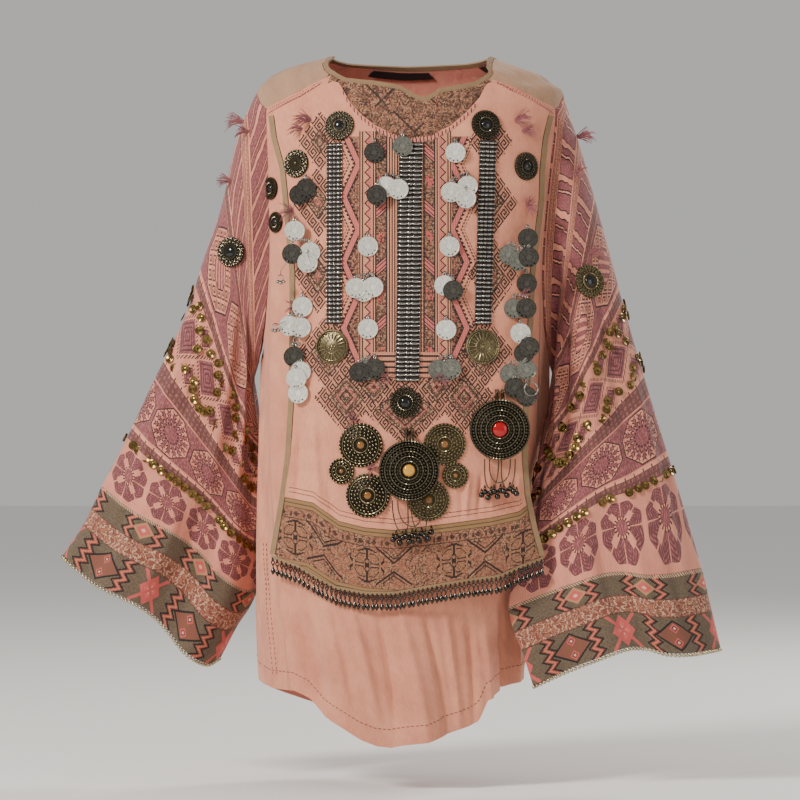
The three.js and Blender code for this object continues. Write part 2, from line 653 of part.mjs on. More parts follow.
// A drop of coins fused at its ring: each coin hangs upright just clear of all that lies behind it.
function coinDrop(coins) {
  const top = coins.reduce((a, b) => (b.z > a.z ? b : a));
  const hinge = new THREE.Vector3(top.x, 0, top.z + COIN.radius + COIN.ring);
  hinge.y = foremost(hinge.x, hinge.z) - COIN.wire / 2 - SEAM;
  const parts = [];
  const backs = coins.map(({ x, z }) => {
    const behind = evenly(0, 315, 7).map(
      (way) => foremost(x + COIN.radius * Math.cos(way * DEG), z + COIN.radius * Math.sin(way * DEG)));
    return Math.min(...behind, foremost(x, z));
  });
  const back = Math.min(...backs, hinge.y) - 0.5;
  const place = (coin) => {
    const y = back - COIN.thick / 2 - coin.layer * (COIN.thick + 0.5);
    return new THREE.Vector3(coin.x, y, coin.z);
  };
  coins.forEach((coin) => {
    const disc = new THREE.CylinderGeometry(COIN.radius, COIN.radius, COIN.thick, COIN.sides);
    parts.push(placed(disc, place(coin), new THREE.Vector3(0, -1, 0)));
    const higher = coins.filter((other) => other.z - coin.z > COIN.radius);
    const away = (other) => place(other).distanceTo(place(coin));
    const near = higher.sort((a, b) => away(a) - away(b))[0];
    const from = near ? place(near).add(new THREE.Vector3(0, 0, 3 - COIN.radius)) : hinge;
    parts.push(wire(from, place(coin).add(new THREE.Vector3(0, 0, COIN.radius - 3)), COIN.wire));
  });
  return { shape: joined(parts), hinge };
}

// A pendant: a boss with a bail at its top, and bells on wires from its lower edge.
function pendant({ x, z, radius, lift, bailZ, bells, bellX, bellZ, spread }) {
  const seatY = Math.min(...evenly(0, 315, 7).map(
    (way) => foremost(x + radius * Math.cos(way * DEG), z + radius * Math.sin(way * DEG))), foremost(x, z));
  const back = seatY - 0.6 - lift;
  const disc = placed(boss(radius, 20, 5), new THREE.Vector3(x, back, z), new THREE.Vector3(0, -1, 0));
  const hinge = new THREE.Vector3(x, foremost(x, bailZ) - 2.6, bailZ);
  const bail = wire(hinge, new THREE.Vector3(x, back - 2, z + radius - 4), 4.5);
  const hung = evenly(-0.5, 0.5, bells - 1).flatMap((share, i) => {
    const low = new THREE.Vector3(bellX + share * spread, back - 2, bellZ + (i % 2 ? 4 : -4));
    const high = new THREE.Vector3(x + share * radius, back - 2, z - radius * Math.cos(share) + 3);
    const bell = new THREE.OctahedronGeometry(3);
    bell.scale(1, 1, 1.5);
    bell.translate(low.x, low.y, low.z);
    return [wire(high, low, 1.2), bell];
  });
  return { shape: joined([disc, bail, ...hung]), hinge };
}

// A narrow tape along the apron's lower edge with a row of bells hung on it.
function bellFringe() {
  const xs = evenly(-156, 156, FRINGE.strands - 1);
  const tapeTop = (x) => apronLow(x) - 2 * SEAM;
  const tape = wall(gridOf(24, 1, (u, v) => {
    const x = -157.5 + 315 * u;
    return apronPoint(x, tapeTop(x) - FRINGE.tape * v);
  }), CLOTH);
  const strands = xs.map((x) => {
    const profile = [[0, -FRINGE.drop], [FRINGE.radius, -FRINGE.drop * 0.7], [0.6, 0], [0, 0]];
    const strand = new THREE.LatheGeometry(profile.map(([r, h]) => new THREE.Vector2(r, h)), 3);
    strand.rotateX(Math.PI / 2);
    const root = tapeTop(x) - FRINGE.tape + 1;
    strand.translate(x, apronY(x, root), root);
    return strand;
  });
  return joined([tape, ...strands]);
}

// A small woven label inside the neck, a depth in from the middle of the cloth that it is sewn to.
function label(from, to, drop, depth) {
  const grid = evenly(from, to, 4).map((angle) => {
    const top = below(angle, neckAt(angle), BINDING_WIDTH + 2);
    const low = below(angle, top, drop);
    return [0, 0.5, 1].map((v) => bodyOut(angle, top + (low - top) * v, -depth));
  });
  return wall(grid, 1);
}

const FINISH = {
  pink: { color: 0xd8a08c, roughness: 0.9 },
  taupe: { color: 0xb99478, roughness: 0.9 },
  khaki: { color: 0xa0825f, roughness: 0.9 },
  jacquard: { color: 0xa06e4b, roughness: 0.9 },
  stitched: { color: 0xc98d7d, roughness: 0.9 },
  brocade: { color: 0xaa5a46, roughness: 0.85 },
  cuff: { color: 0x6e5f4b, roughness: 0.9 },
  label: { color: 0x141214, roughness: 0.8 },
  bronze: { color: 0x4a4034, roughness: 0.45, metalness: 1 },
  brass: { color: 0x9a8452, roughness: 0.4, metalness: 1 },
  silver: { color: 0xc9c6c0, roughness: 0.3, metalness: 1 },
};

const tunic = new THREE.Group();
tunic.name = "embroidered_tunic";

function add(name, shape, finish) {
  const mesh = new THREE.Mesh(shape, new THREE.MeshStandardMaterial(FINISH[finish]));
  mesh.name = name;
  tunic.add(mesh);
}

add("front", wall(bodyPanel(0, YOKE_START - 0.2), CLOTH), "pink");
add("back", wall(bodyPanel(180, 180 - YOKE_END), CLOTH), "pink");
add("yoke_right", yoke(-1), "taupe");
add("yoke_left", yoke(1), "taupe");
add("neck_binding", neckBinding(), "khaki");
add("neck_inset", neckInset(), "jacquard");
add("neck_label", label(167, 198, 11, 2.6), "label");
add("size_tab", label(121, 133, 12, 1.7), "label");

const inner = BINDING_WIDTH + 3 * SEAM;
add("apron", wall(apronGrid(16, 12, apronTop, (x) => borderTop(x) + SEAM, inner), CLOTH), "stitched");
add("apron_border", wall(apronGrid(16, 3, borderTop, apronLow, inner), CLOTH), "jacquard");
add("apron_binding_right", apronBinding(-1), "khaki");
add("apron_binding_left", apronBinding(1), "khaki");

for (const arm of ARMS) {
  const [hem, low, middle, high] = CUFF_BANDS;
  const rings = arm.rings.map((row) => row.above).filter((above) => above > high + 1);
  add(`sleeve_${arm.name}`, sleeveWall(arm, [1000, ...rings, high + SEAM]), "stitched");
  add(`cuff_upper_${arm.name}`, sleeveWall(arm, [high, middle + SEAM]), "cuff");
  add(`cuff_brocade_${arm.name}`, sleeveWall(arm, [middle, low + SEAM]), "brocade");
  add(`cuff_lower_${arm.name}`, sleeveWall(arm, [low, hem]), "cuff");
}

BAR_STRIPS.forEach((strip, i) => add(`bar_strip_${i + 1}`, barStrip(strip), "silver"));
APRON_BOSSES.forEach((disc, i) => add(`apron_boss_${i + 1}`, closed(apronBoss(disc, 4)), "bronze"));
BRASS_DISCS.forEach((disc, i) => add(`brass_disc_${i + 1}`, closed(apronBoss(disc, 2.6)), "brass"));
for (const number of new Set(LOW_DISCS.map((row) => row.disc))) {
  const discs = LOW_DISCS.filter((row) => row.disc === number);
  add(`low_disc_${number}`, joined(discs.map((row) => apronBoss(row, 3.2))), "brass");
}

SLEEVE_BOSSES.forEach(({ side, way, above, radius }, i) => {
  const arm = ARMS.find((one) => one.side === side);
  const spot = sleevePoint(arm, way, above);
  const across = sleevePoint(arm, way + 8 * side, above).sub(sleevePoint(arm, way - 8 * side, above));
  const down = sleevePoint(arm, way, above - 14).sub(sleevePoint(arm, way, above + 14));
  const normal = across.cross(down).normalize();
  if (normal.y > 0) normal.negate();
  spot.addScaledVector(normal, CLOTH / 2 + SEAM + 0.5);
  add(`sleeve_boss_${i + 1}`, closed(placed(boss(radius, 12, 4), spot, normal)), "bronze");
});

add("bell_fringe", bellFringe(), "bronze");
const hinges = {};
PENDANTS.forEach((row, i) => {
  const { shape, hinge } = pendant(row);
  add(`pendant_${i + 1}`, shape, "bronze");
  hinges[`pendant_${i + 1}`] = hinge;
});
for (const drop of new Set(COINS.map((coin) => coin.drop))) {
  const name = `coin_drop_${String(drop).padStart(2, "0")}`;
  const { shape, hinge } = coinDrop(COINS.filter((coin) => coin.drop === drop));
  add(name, shape, "silver");
  hinges[name] = hinge;
}
// Each swinging piece turns about X through the ring that holds it.
tunic.userData.hinges = hinges;

export default tunic;
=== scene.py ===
"""Embroidered tunic with bell sleeves, coins, pendants and a bell fringe, filled out as if worn.

Lengths are in millimetres in the frame of the solids, and become metres where a mesh is made:
+Z up, the front faces -Y, the wearer's right arm is at -X, and the origin is between the shoulders.
"""
import math

import bmesh
import bpy
import numpy as np
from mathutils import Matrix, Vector


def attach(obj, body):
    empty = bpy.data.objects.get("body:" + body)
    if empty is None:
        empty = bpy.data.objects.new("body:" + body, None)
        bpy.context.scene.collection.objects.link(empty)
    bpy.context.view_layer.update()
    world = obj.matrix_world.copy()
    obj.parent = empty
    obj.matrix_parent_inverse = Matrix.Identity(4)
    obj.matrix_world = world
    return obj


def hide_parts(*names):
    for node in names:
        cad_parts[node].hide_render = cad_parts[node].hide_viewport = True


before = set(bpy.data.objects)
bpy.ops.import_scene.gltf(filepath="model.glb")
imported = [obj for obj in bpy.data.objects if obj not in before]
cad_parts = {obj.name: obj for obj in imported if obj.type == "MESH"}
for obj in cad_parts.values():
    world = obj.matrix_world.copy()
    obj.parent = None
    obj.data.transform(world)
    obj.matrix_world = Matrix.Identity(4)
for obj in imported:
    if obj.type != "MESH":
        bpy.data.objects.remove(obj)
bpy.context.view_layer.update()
MM = 0.001

# Camera: level and straight on, far off, so that the garment is seen nearly flat. The picture is
# as wide as the garment with a margin of a tenth, at the plane of the apron.
CAMERA_AWAY, CLIP_END = 4500, 30
APRON_PLANE = -90
PICTURE_WIDTH = 928
PICTURE_CENTRE = (-8.1, -377)
camera = bpy.data.objects.new("camera", bpy.data.cameras.new("camera"))
camera.location = Vector((PICTURE_CENTRE[0], APRON_PLANE - CAMERA_AWAY, PICTURE_CENTRE[1])) * MM
camera.rotation_euler = (math.radians(90), 0, 0)
camera.data.lens = camera.data.sensor_width * CAMERA_AWAY / PICTURE_WIDTH
camera.data.clip_end = CLIP_END
bpy.context.collection.objects.link(camera)
bpy.context.scene.camera = camera

# Studio: a pale floor under the hem, an even pale surround, a broad soft key from the upper left
# of the front, a weaker fill from the right and one behind for the edges.
FLOOR_UNDER, FLOOR_WIDTH = -0.83, 24
PALE, SURROUND_STRENGTH = (0.83, 0.82, 0.8), 0.6
LAMP_AIM, LAMP_COLOUR = Vector((0, 0, -0.4)), (1, 0.95, 0.88)
bpy.ops.mesh.primitive_plane_add(size=FLOOR_WIDTH, location=(0, 0, FLOOR_UNDER))
floor = bpy.context.object
floor.name = "floor"
floor_paint = bpy.data.materials.new("floor_paint")
floor_paint.use_nodes = True
matt = floor_paint.node_tree.nodes["Principled BSDF"].inputs
matt["Base Color"].default_value = (*PALE, 1)
matt["Roughness"].default_value = 0.9
floor.data.materials.append(floor_paint)

surround = bpy.data.worlds.new("surround")
surround.use_nodes = True
glow = surround.node_tree.nodes["Background"].inputs
glow["Color"].default_value = (*PALE, 1)
glow["Strength"].default_value = SURROUND_STRENGTH
bpy.context.scene.world = surround


def soft_lamp(name, place, size, power):
    lamp = bpy.data.objects.new(name, bpy.data.lights.new(name, "AREA"))
    lamp.data.size = size
    lamp.data.energy = power
    lamp.data.color = LAMP_COLOUR
    lamp.location = place
    lamp.rotation_euler = (LAMP_AIM - Vector(place)).to_track_quat("-Z", "Y").to_euler()
    bpy.context.collection.objects.link(lamp)


soft_lamp("key", (-2.3, -2.3, 1.5), 0.8, 170)
soft_lamp("fill", (2.4, -2.4, 0.2), 1.8, 20)
soft_lamp("behind", (2.0, 1.9, 1.2), 0.9, 60)


# Front and back panels: plain pink cotton, soft from washing. Each is cut to the neck, the yoke
# seam, the armhole and a curved hem, and they are sewn together at the sides.
CLOTH = 1.5  # thickness of a cloth wall
SEAM = 0.3  # gap between two pieces at a seam
BINDING_WIDTH = 6
# Body by height: side reach in X, depth to the front and back, and turn of the side seams.
BODY = np.array([
    # z, left, right, front, back, turn
    (31, -78, 90, 38, 44, 0),
    (29, -86, 97, 46, 51, 0),
    (17, -133, 128, 60, 65, 0),
    (7, -157, 157, 68, 74, 0),
    (-3, -169, 170, 75, 81, 0),
    (-12, -176, 183, 80, 86, 0),
    (-35, -177, 186, 88, 94, 0),
    (-70, -175, 183, 97, 101, 0),
    (-120, -172, 176, 105, 106, 0),
    (-200, -170, 168, 113, 108, 0),
    (-330, -172, 165, 116, 104, 0),
    (-440, -175, 158, 115, 103, 4),
    (-560, -178, 148, 113, 104, 12),
    (-700, -178, 136, 112, 105, 22),
    (-790, -178, 132, 112, 105, 26),
], float)
# Largest folds below: angle at the hem, half width, rise and the height they start at.
BODY_FOLDS = [
    (-78, 9, 3.5, -480), (-58, 8, -4.5, -560), (-41, 8, 4.5, -540), (-24, 7, -4, -600),
    (-8, 6, 4.5, -590), (6, 6, -4.5, -570), (21, 8, 5, -610), (40, 7, -5, -600),
    (58, 9, 4, -560), (112, 12, 5, -520), (140, 11, -5, -560), (166, 12, 5.5, -500),
    (193, 11, -5, -540), (221, 12, 5, -520), (248, 11, -4.5, -560),
]
# Edges by angle round the body: 0 is the front, 90 the wearer's left side, 180 the back.
NECK = np.array([
    (-90, 29), (-65, 27), (-53, 23), (-42, 16), (-32, 6), (-25, -2), (-13, -6), (-4, -11), (1, -21),
    (4.5, -26), (8, -21), (10.5, -15), (18, -11), (26, -7), (33, 1), (42, 13), (53, 21), (65, 26),
    (90, 28.5), (115, 27), (140, 24), (180, 22), (220, 24), (245, 27), (270, 29),
], float)
YOKE_LOW = np.array([
    (33.6, 0), (45, -16), (57, -27), (69, -35), (79, -21), (90, -10), (101, -21), (111, -35),
    (125, -20), (137, -3), (146, 12),
], float)
ARMHOLE = np.array([
    # way, angle, z: from the shoulder by the front to the underarm
    (0, 90, -10), (18, 79, -21), (38, 69, -35), (62, 69.3, -90), (90, 69.8, -160),
    (116, 71, -230), (140, 75, -290), (160, 82, -320), (180, 90, -333),
], float)
HEM_TURN = 24
HEM = np.array([
    (-90, -700), (-56, -713), (-43, -715), (-36, -723), (-28, -744), (-19, -757), (-12, -770),
    (-6, -777), (0, -779), (6, -776), (16, -773), (26, -764), (36, -756), (41, -750), (46, -726),
    (54, -719), (62, -713), (90, -702), (120, -716), (150, -744), (180, -760), (210, -746),
    (240, -722), (270, -700),
], float)


def straight(rows, at, column=1):
    """Straight interpolation in a table whose first column rises or falls."""
    if rows[0, 0] > rows[-1, 0]:
        rows = rows[::-1]
    return np.interp(at, rows[:, 0], rows[:, column])


def smooth(rows, at, column):
    """Smooth interpolation through a table's rows, held at its ends."""
    if rows[0, 0] > rows[-1, 0]:
        rows = rows[::-1]
    keys, values = rows[:, 0], rows[:, column]
    before = np.maximum(np.arange(len(keys)) - 1, 0)
    after = np.minimum(np.arange(len(keys)) + 1, len(keys) - 1)
    slopes = (values[after] - values[before]) / (keys[after] - keys[before])
    at = np.clip(at, keys[0], keys[-1])
    i = np.clip(np.searchsorted(keys, at), 1, len(keys) - 1)
    span = keys[i] - keys[i - 1]
    s = (at - keys[i - 1]) / span
    return (
        (2 * s**3 - 3 * s**2 + 1) * values[i - 1] + (s**3 - 2 * s**2 + s) * slopes[i - 1] * span
        + (3 * s**2 - 2 * s**3) * values[i] + (s**3 - s**2) * slopes[i] * span
    )


def eased(value, low, high):
    """0 below the low value and 1 above the high one, and a smooth rise between."""
    share = np.clip((value - low) / (high - low), 0, 1)
    return share * share * (3 - 2 * share)


def hump(away, width):
    """1 in the middle and 0 from one width away."""
    return 0.5 + 0.5 * np.cos(np.pi * np.minimum(np.abs(away) / width, 1))


def unit(vectors):
    """The vectors, each made one long."""
    return vectors / np.maximum(np.linalg.norm(vectors, axis=-1, keepdims=True), 1e-9)


def body(angle, z):
    """The body's surface at an angle round it and a height."""
    angle, z = np.broadcast_arrays(np.asarray(angle, float), np.asarray(z, float))
    left, right = smooth(BODY, z, 1), smooth(BODY, z, 2)
    turned = np.radians(angle + smooth(BODY, z, 5))
    depth = np.where(np.cos(turned) > 0, smooth(BODY, z, 3), smooth(BODY, z, 4))
    rise = sum(
        out * eased(top - z, 0, 130) * hump((angle - fold + 180) % 360 - 180, width * 1.5)
        for fold, width, out, top in BODY_FOLDS)
    x = (left + right) / 2 + ((right - left) / 2 + rise) * np.sin(turned)
    return np.stack([x, -(depth + rise) * np.cos(turned), z], -1)


def body_normal(angle, z):
    across = body(angle + 0.5, z) - body(angle - 0.5, z)
    down = body(angle, z - 1) - body(angle, z + 1)
    return unit(np.cross(down, across))


def below(angle, z, distance):
    """The height that lies a distance down the cloth from a height."""
    step = 0.25
    low = np.array(z, float)
    gone = np.zeros_like(low)
    while np.any(gone < distance):
        more = gone < distance
        gone += np.linalg.norm(body(angle, low) - body(angle, low - step), axis=-1) * more
        low -= step * more
    return low


def neck_edge(angle):
    """The height of the neck's edge."""
    return straight(NECK, np.where(angle > 270, angle - 360, angle))


def under_binding(angle):
    """The height where cloth shows below the neck binding."""
    return below(angle, neck_edge(angle), BINDING_WIDTH + 2 * SEAM)


def yoke_low(angle):
    """The height of the yoke's seam."""
    side = np.abs(np.where(angle > 180, angle - 360, angle))
    return np.minimum(straight(YOKE_LOW, side), under_binding(angle) - 2.2)


def hem_edge(angle):
    """The height of the curved hem."""
    hung = angle + HEM_TURN
    return straight(HEM, np.where(hung > 270, hung - 360, hung))


def creased(u, v, creases):
    """How far cloth stands out from its even surface, by the listed creases across it.

    Each crease runs from (u, v) to (u, v), with a half width and a rise, and fades at its ends."""
    out = np.zeros_like(u)
    for u0, v0, u1, v1, width, rise in creases:
        along = np.array([u1 - u0, v1 - v0], float)
        length = np.hypot(*along)
        share = ((u - u0) * along[0] + (v - v0) * along[1]) / length**2
        away = ((u - u0) * along[1] - (v - v0) * along[0]) / length
        out += (
            rise * np.exp(-(away / width) ** 2)
            * eased(share, -0.15, 0.3) * eased(1.15 - share, 0, 0.45))
    return out


def skin(points, uv, tube=False, finish=0, flip=False):
    """Quads over a grid of points, columns by rows. A tube joins its last column to its first, and
    its uv has one column more than its points."""
    columns, rows = points.shape[:2]
    wide = np.arange(columns if tube else columns - 1)
    i, j = np.meshgrid(wide, np.arange(rows - 1), indexing="ij")
    steps = [(0, 0), (0, 1), (1, 1), (1, 0)]
    if flip:
        steps.reverse()
    faces = np.stack([((i + a) % columns) * rows + j + b for a, b in steps], -1).reshape(-1, 4)
    corners = np.stack([uv[i + a, j + b] for a, b in steps], -2).reshape(-1, 4, 2)
    return points.reshape(-1, 3), faces, corners, finish


def wall(points, thick, uv, tube=False, normals=None):
    """A closed cloth wall round a grid of middle points: outer face, then inner face and edges."""
    if normals is None:
        if tube:
            across = np.roll(points, -1, 0) - np.roll(points, 1, 0)
        else:
            across = np.gradient(points, axis=0)
        normals = unit(np.cross(np.gradient(points, axis=1), across))
    outer, inner = points + normals * thick / 2, points - normals * thick / 2
    parts = [skin(outer, uv, tube), skin(inner, uv, tube, 1, True)]
    for row, flip in ((0, True), (-1, False)):
        rim = np.stack([outer[:, row], inner[:, row]], 1)
        parts.append(skin(rim, np.stack([uv[:, row]] * 2, 1), tube, 1, flip))
    if not tube:
        for column, flip in ((0, False), (-1, True)):
            rim = np.stack([outer[column], inner[column]], 1)
            parts.append(skin(rim, np.stack([uv[column]] * 2, 1), False, 1, flip))
    return parts


def piece(name, parts, finishes, rides="tunic"):
    """One object from parts in millimetres, its doubled points merged, riding on its body."""
    starts = np.cumsum([0] + [len(points) for points, *_ in parts])
    points = np.concatenate([points for points, *_ in parts]) * MM
    faces = np.concatenate([faces + start for (_, faces, *_), start in zip(parts, starts)])
    corners = np.concatenate([corners for _, _, corners, _ in parts]).reshape(-1, 2)
    mesh = bpy.data.meshes.new(name)
    mesh.from_pydata(points.tolist(), [], faces.tolist())
    mesh.uv_layers.new(name="cloth").data.foreach_set("uv", (corners * MM).ravel())
    indices = np.concatenate([np.full(len(faces), finish) for _, faces, _, finish in parts])
    mesh.polygons.foreach_set("material_index", indices)
    tidy = bmesh.new()
    tidy.from_mesh(mesh)
    bmesh.ops.remove_doubles(tidy, verts=tidy.verts, dist=2e-6)
    bmesh.ops.recalc_face_normals(tidy, faces=tidy.faces)
    tidy.to_mesh(mesh)
    tidy.free()
    for finish in finishes:
        mesh.materials.append(finish)
    mesh.shade_smooth()
    mesh.set_sharp_from_angle(angle=math.radians(40))
    thing = bpy.data.objects.new(name, mesh)
    bpy.context.collection.objects.link(thing)
    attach(thing, rides)
    return thing


def lengths(points, axis):
    """Distance run along a grid's columns or rows, from its first."""
    steps = np.linalg.norm(np.diff(points, axis=axis), axis=-1)
    return np.cumsum(np.insert(steps, 0, 0, axis), axis)


def unrolled(points):
    """The uv of a grid of points: the distance run along its columns and along its rows."""
    return np.stack([lengths(points, 0), lengths(points, 1)], -1)


class Shade:
    """A value in a material's nodes: sums on it add Math nodes, and node() adds any other."""

    def __init__(self, socket):
        self.socket = socket

    def node(self, kind, settings=None, inputs=None, output=0):
        tree = self.socket.id_data
        made = tree.nodes.new(kind)
        for name, value in (settings or {}).items():
            if name == "stops":
                ramp = made.color_ramp
                ramp.interpolation = "CONSTANT" if settings.get("label") == "steps" else "LINEAR"
                while len(ramp.elements) < len(value):
                    ramp.elements.new(1)
                for stop, (at, colour) in zip(ramp.elements, value):
                    stop.position = at
                    stop.color = colour if len(colour) == 4 else (*colour, 1)
            else:
                setattr(made, name, value)
        for key, value in (inputs or {}).items():
            if isinstance(value, Shade):
                tree.links.new(value.socket, made.inputs[key])
            else:
                made.inputs[key].default_value = value
        return Shade(made.outputs[output])

    def math(self, operation, *values):
        values = [(v if isinstance(v, Shade) else float(v)) for v in (self, *values)]
        return self.node("ShaderNodeMath", {"operation": operation}, dict(enumerate(values)))

    def __add__(self, other):
        return self.math("ADD", other)

    __radd__ = __add__

    def __sub__(self, other):
        return self.math("SUBTRACT", other)

    def __rsub__(self, other):
        return self.math("MULTIPLY_ADD", -1, other)

    def __mul__(self, other):
        return self.math("MULTIPLY", other)

    __rmul__ = __mul__

    def __truediv__(self, other):
        return self.math("DIVIDE", other)

    def __lt__(self, other):
        return self.math("LESS_THAN", other)

    def __gt__(self, other):
        return self.math("GREATER_THAN", other)

    def __abs__(self):
        return self.math("ABSOLUTE")

    def wave(self, period):
        """Up and down between 0 and 1, straight, once in a period."""
        return self.math("PINGPONG", period / 2) * (2 / period)

    def every(self, period):
        """How far a repeat has run in its period, from 0."""
        return self.math("FLOORED_MODULO", period)

    def stepped(self, step):
        """The value held level over each step."""
        return self.math("SNAP", step)

    def within(self, low, high):
        return (self > low) * (self < high)

    def either(self, other):
        return self.math("MAXIMUM", other)

    def over(self, colour, mask):
        """This colour, with another one laid over it where the mask is 1."""
        return self.node(
            "ShaderNodeMix", {"data_type": "RGBA", "clamp_factor": True},
            {0: mask, 6: self, 7: colour}, 2)


def srgb(red, green, blue):
    """A colour given as it looks, from 0 to 255, as a shader's RGBA."""
    line = [v / 255 for v in (red, green, blue)]
    return (*[v / 12.92 if v <= 0.04045 else ((v + 0.055) / 1.055) ** 2.4 for v in line], 1)


def dyed(shade, colour):
    """A plain colour as a value that patterns can be laid over."""
    return shade.node("ShaderNodeMix", {"data_type": "RGBA"}, {0: 0.0, 6: colour, 7: colour}, 2)


def finish_of(name, roughness=0.9, metallic=0.0, sheen=0.0, coat=0.0):
    """A new material, its shader's inputs, and the cloth's own u and v in millimetres."""
    material = bpy.data.materials.new(name)
    material.use_nodes = True
    inputs = material.node_tree.nodes["Principled BSDF"].inputs
    inputs["Roughness"].default_value = roughness
    inputs["Metallic"].default_value = metallic
    inputs["Sheen Weight"].default_value = sheen
    inputs["Coat Weight"].default_value = coat
    start = material.node_tree.nodes.new("ShaderNodeUVMap")
    start.uv_map = "cloth"
    place = Shade(start.outputs[0])
    split = place.node("ShaderNodeSeparateXYZ", inputs={0: place})
    u = split * 1000
    v = Shade(split.socket.node.outputs[1]) * 1000
    return material, inputs, u, v


def feed(value, socket):
    socket.id_data.links.new(value.socket, socket)


def noise(u, v, size, detail=2.0, stretch=1.0):
    """Soft noise with spots of about a size in millimetres, longer along v by a stretch."""
    place = u.node("ShaderNodeCombineXYZ", inputs={0: u, 1: v / stretch})
    return u.node(
        "ShaderNodeTexNoise", {"noise_dimensions": "2D"},
        {"Vector": place, "Scale": 1 / size, "Detail": detail, "Roughness": 0.6})


def raised(height, depth, inputs):
    """Bump from a height of 0 to 1 that stands a depth in millimetres out of the cloth."""
    bump = height.node("ShaderNodeBump", inputs={
        "Height": height, "Distance": depth * MM, "Strength": 1.0})
    feed(bump, inputs["Normal"])


def weave(u, v, pitch=0.9):
    """The over and under of a plain weave, 0 to 1."""
    return (u.wave(pitch) * v.wave(pitch)) + (1 - u.wave(pitch)) * (1 - v.wave(pitch))


def washed(colour, deep, u, v):
    """Cloth of one dye, faded unevenly."""
    patches = noise(u, v, 46, 3.0)
    threads = noise(u, v, 1.6, 2.0, 5.0)
    return dyed(u, colour).over(deep, (patches * 0.9 + threads * 0.55 - 0.42))


def cotton(name, colour, deep, roughness=0.92):
    material, inputs, u, v = finish_of(name, roughness, sheen=0.18)
    feed(washed(colour, deep, u, v), inputs["Base Color"])
    slack = noise(u, v, 34, 2.0, 1.8)
    raised(weave(u, v) * 0.1 + noise(u, v, 9, 4.0, 2.5) * 0.3 + slack * 0.9, 1.8, inputs)
    return material


PINK, DEEP_PINK = srgb(218, 148, 118), srgb(172, 94, 76)
pink_cotton = cotton("pink_cotton", PINK, DEEP_PINK)
# The inside pink is paler than the outer pink: painted light, so that the shaded inside of the neck
# reads pale.
pink_inside_painted_light = cotton("pink_inside_painted_light", srgb(224, 146, 126), srgb(200, 118, 100))


def cloth(name, points, uv, normals, finish, tube=False, thick=CLOTH):
    """A piece of one layer, whose inner face is plain pink, paler than the outer pink as painted
    light.
    """
    return piece(name, wall(points, thick, uv, tube, normals), [finish, pink_inside_painted_light])


PANEL_REACH = 89.98  # from a panel's middle to just short of its side seams, in degrees
PANEL_COLUMNS, PANEL_ROWS, PANEL_HALF_WIDTH = 190, 112, 170
TOP_CROWDING = 1.15  # rows lie closer together near the top edge


def panel_grid(middle, seam_start):
    """A body panel's middle surface: from its neck, seam and armhole edge down to its hem."""
    offset = np.linspace(-PANEL_REACH, PANEL_REACH, PANEL_COLUMNS)
    away = np.abs(offset)
    angle = middle + offset
    low_armhole = ARMHOLE[2:, 1:]
    top = np.where(away < seam_start, under_binding(angle), yoke_low(angle))
    top = np.where(away < ARMHOLE[2, 1], top, straight(low_armhole, away))
    share = np.linspace(0, 1, PANEL_ROWS) ** TOP_CROWDING
    z = top[:, None] + (hem_edge(angle) - top)[:, None] * share
    return np.broadcast_to(angle[:, None], z.shape), z


# Creases of the panels by angle and height: soft drags from the armholes, puckers over the side
# seams and hem, and slack below the apron's foot.
FRONT_CREASES = [
    (-86, -250, -80, -420, 3.2, -6.4), (-84, -350, -70, -540, 3.6, 6.4),
    (-88, -400, -78, -600, 3, -7), (-78, -430, -66, -640, 3.2, -5.4),
    (-72, -560, -62, -700, 3, 5.1), (-62, -610, -52, -716, 2.4, -3.8),
    (-50, -612, -45, -722, 2.2, 4.2), (-41, -625, -38, -735, 1.8, -4.2),
    (-33, -612, -29, -748, 2.2, 5.1), (-22, -612, -21, -760, 1.8, -4.8),
    (-13, -612, -8, -765, 2, 4.8), (-3, -612, 2, -768, 1.7, -5.1), (6, -612, 9, -768, 2.1, 5.4),
    (17, -612, 15, -762, 1.9, -4.8), (25, -612, 24, -752, 2.2, 4.5), (36, -612, 38, -740, 2, -4.5),
    (47, -612, 51, -722, 2.6, 4.5), (60, -600, 62, -712, 2.4, -4.2), (72, -560, 70, -700, 3, 4.8),
    (84, -300, 76, -560, 3.4, 5.8), (88, -380, 80, -620, 3, -6.1), (-66, -612, -30, -655, 10, 2.2),
    (10, -640, 44, -672, 9, -2.1),
]
BACK_CREASES = [
    (112, -120, 138, -340, 3.4, 5), (120, -160, 146, -300, 2.8, -4),
    (150, -70, 158, -280, 3.4, -3.6), (205, -70, 200, -300, 3.2, 3.8),
    (246, -120, 222, -330, 3.4, -4.6), (238, -150, 214, -290, 2.8, 4),
    (172, -300, 178, -600, 3, 3.4), (118, -400, 126, -690, 3, -4.6),
    (128, -460, 136, -715, 2.6, 4.8), (139, -520, 143, -730, 2.2, -4.4),
    (152, -480, 150, -740, 2.6, 4.6), (163, -560, 165, -748, 2.2, -4.2),
    (176, -600, 174, -752, 2.4, 4.4), (186, -520, 190, -752, 2.4, -4.6),
    (199, -590, 198, -745, 2.2, 4.2), (214, -470, 206, -735, 2.8, 4.6),
    (226, -520, 220, -725, 2.4, -4.4), (240, -480, 246, -712, 3, 4.4),
    (262, -380, 255, -660, 3, -4.2), (98, -380, 104, -640, 3, 4.2),
]


def body_piece(name, middle, seam_start, creases):
    angle, z = panel_grid(middle, seam_start)
    beside_apron = eased(np.abs(angle), 70, 77) * eased(-z, 200, 300)
    free = np.maximum(eased(-z, 560, 620), beside_apron) if middle == 0 else eased(-z, 60, 110)
    inside = eased(89.9 - np.abs(angle - middle), 0, 5)
    out = creased(angle, z, creases) * free * inside
    normals = body_normal(angle, z)
    points = body(angle, z) + normals * out[..., None]
    uv = np.stack([lengths(points, 0) - PANEL_HALF_WIDTH, -lengths(points, 1)], -1)
    made = cloth(name, points, uv, normals, pink_cotton)
    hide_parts(name.removesuffix("_panel"))


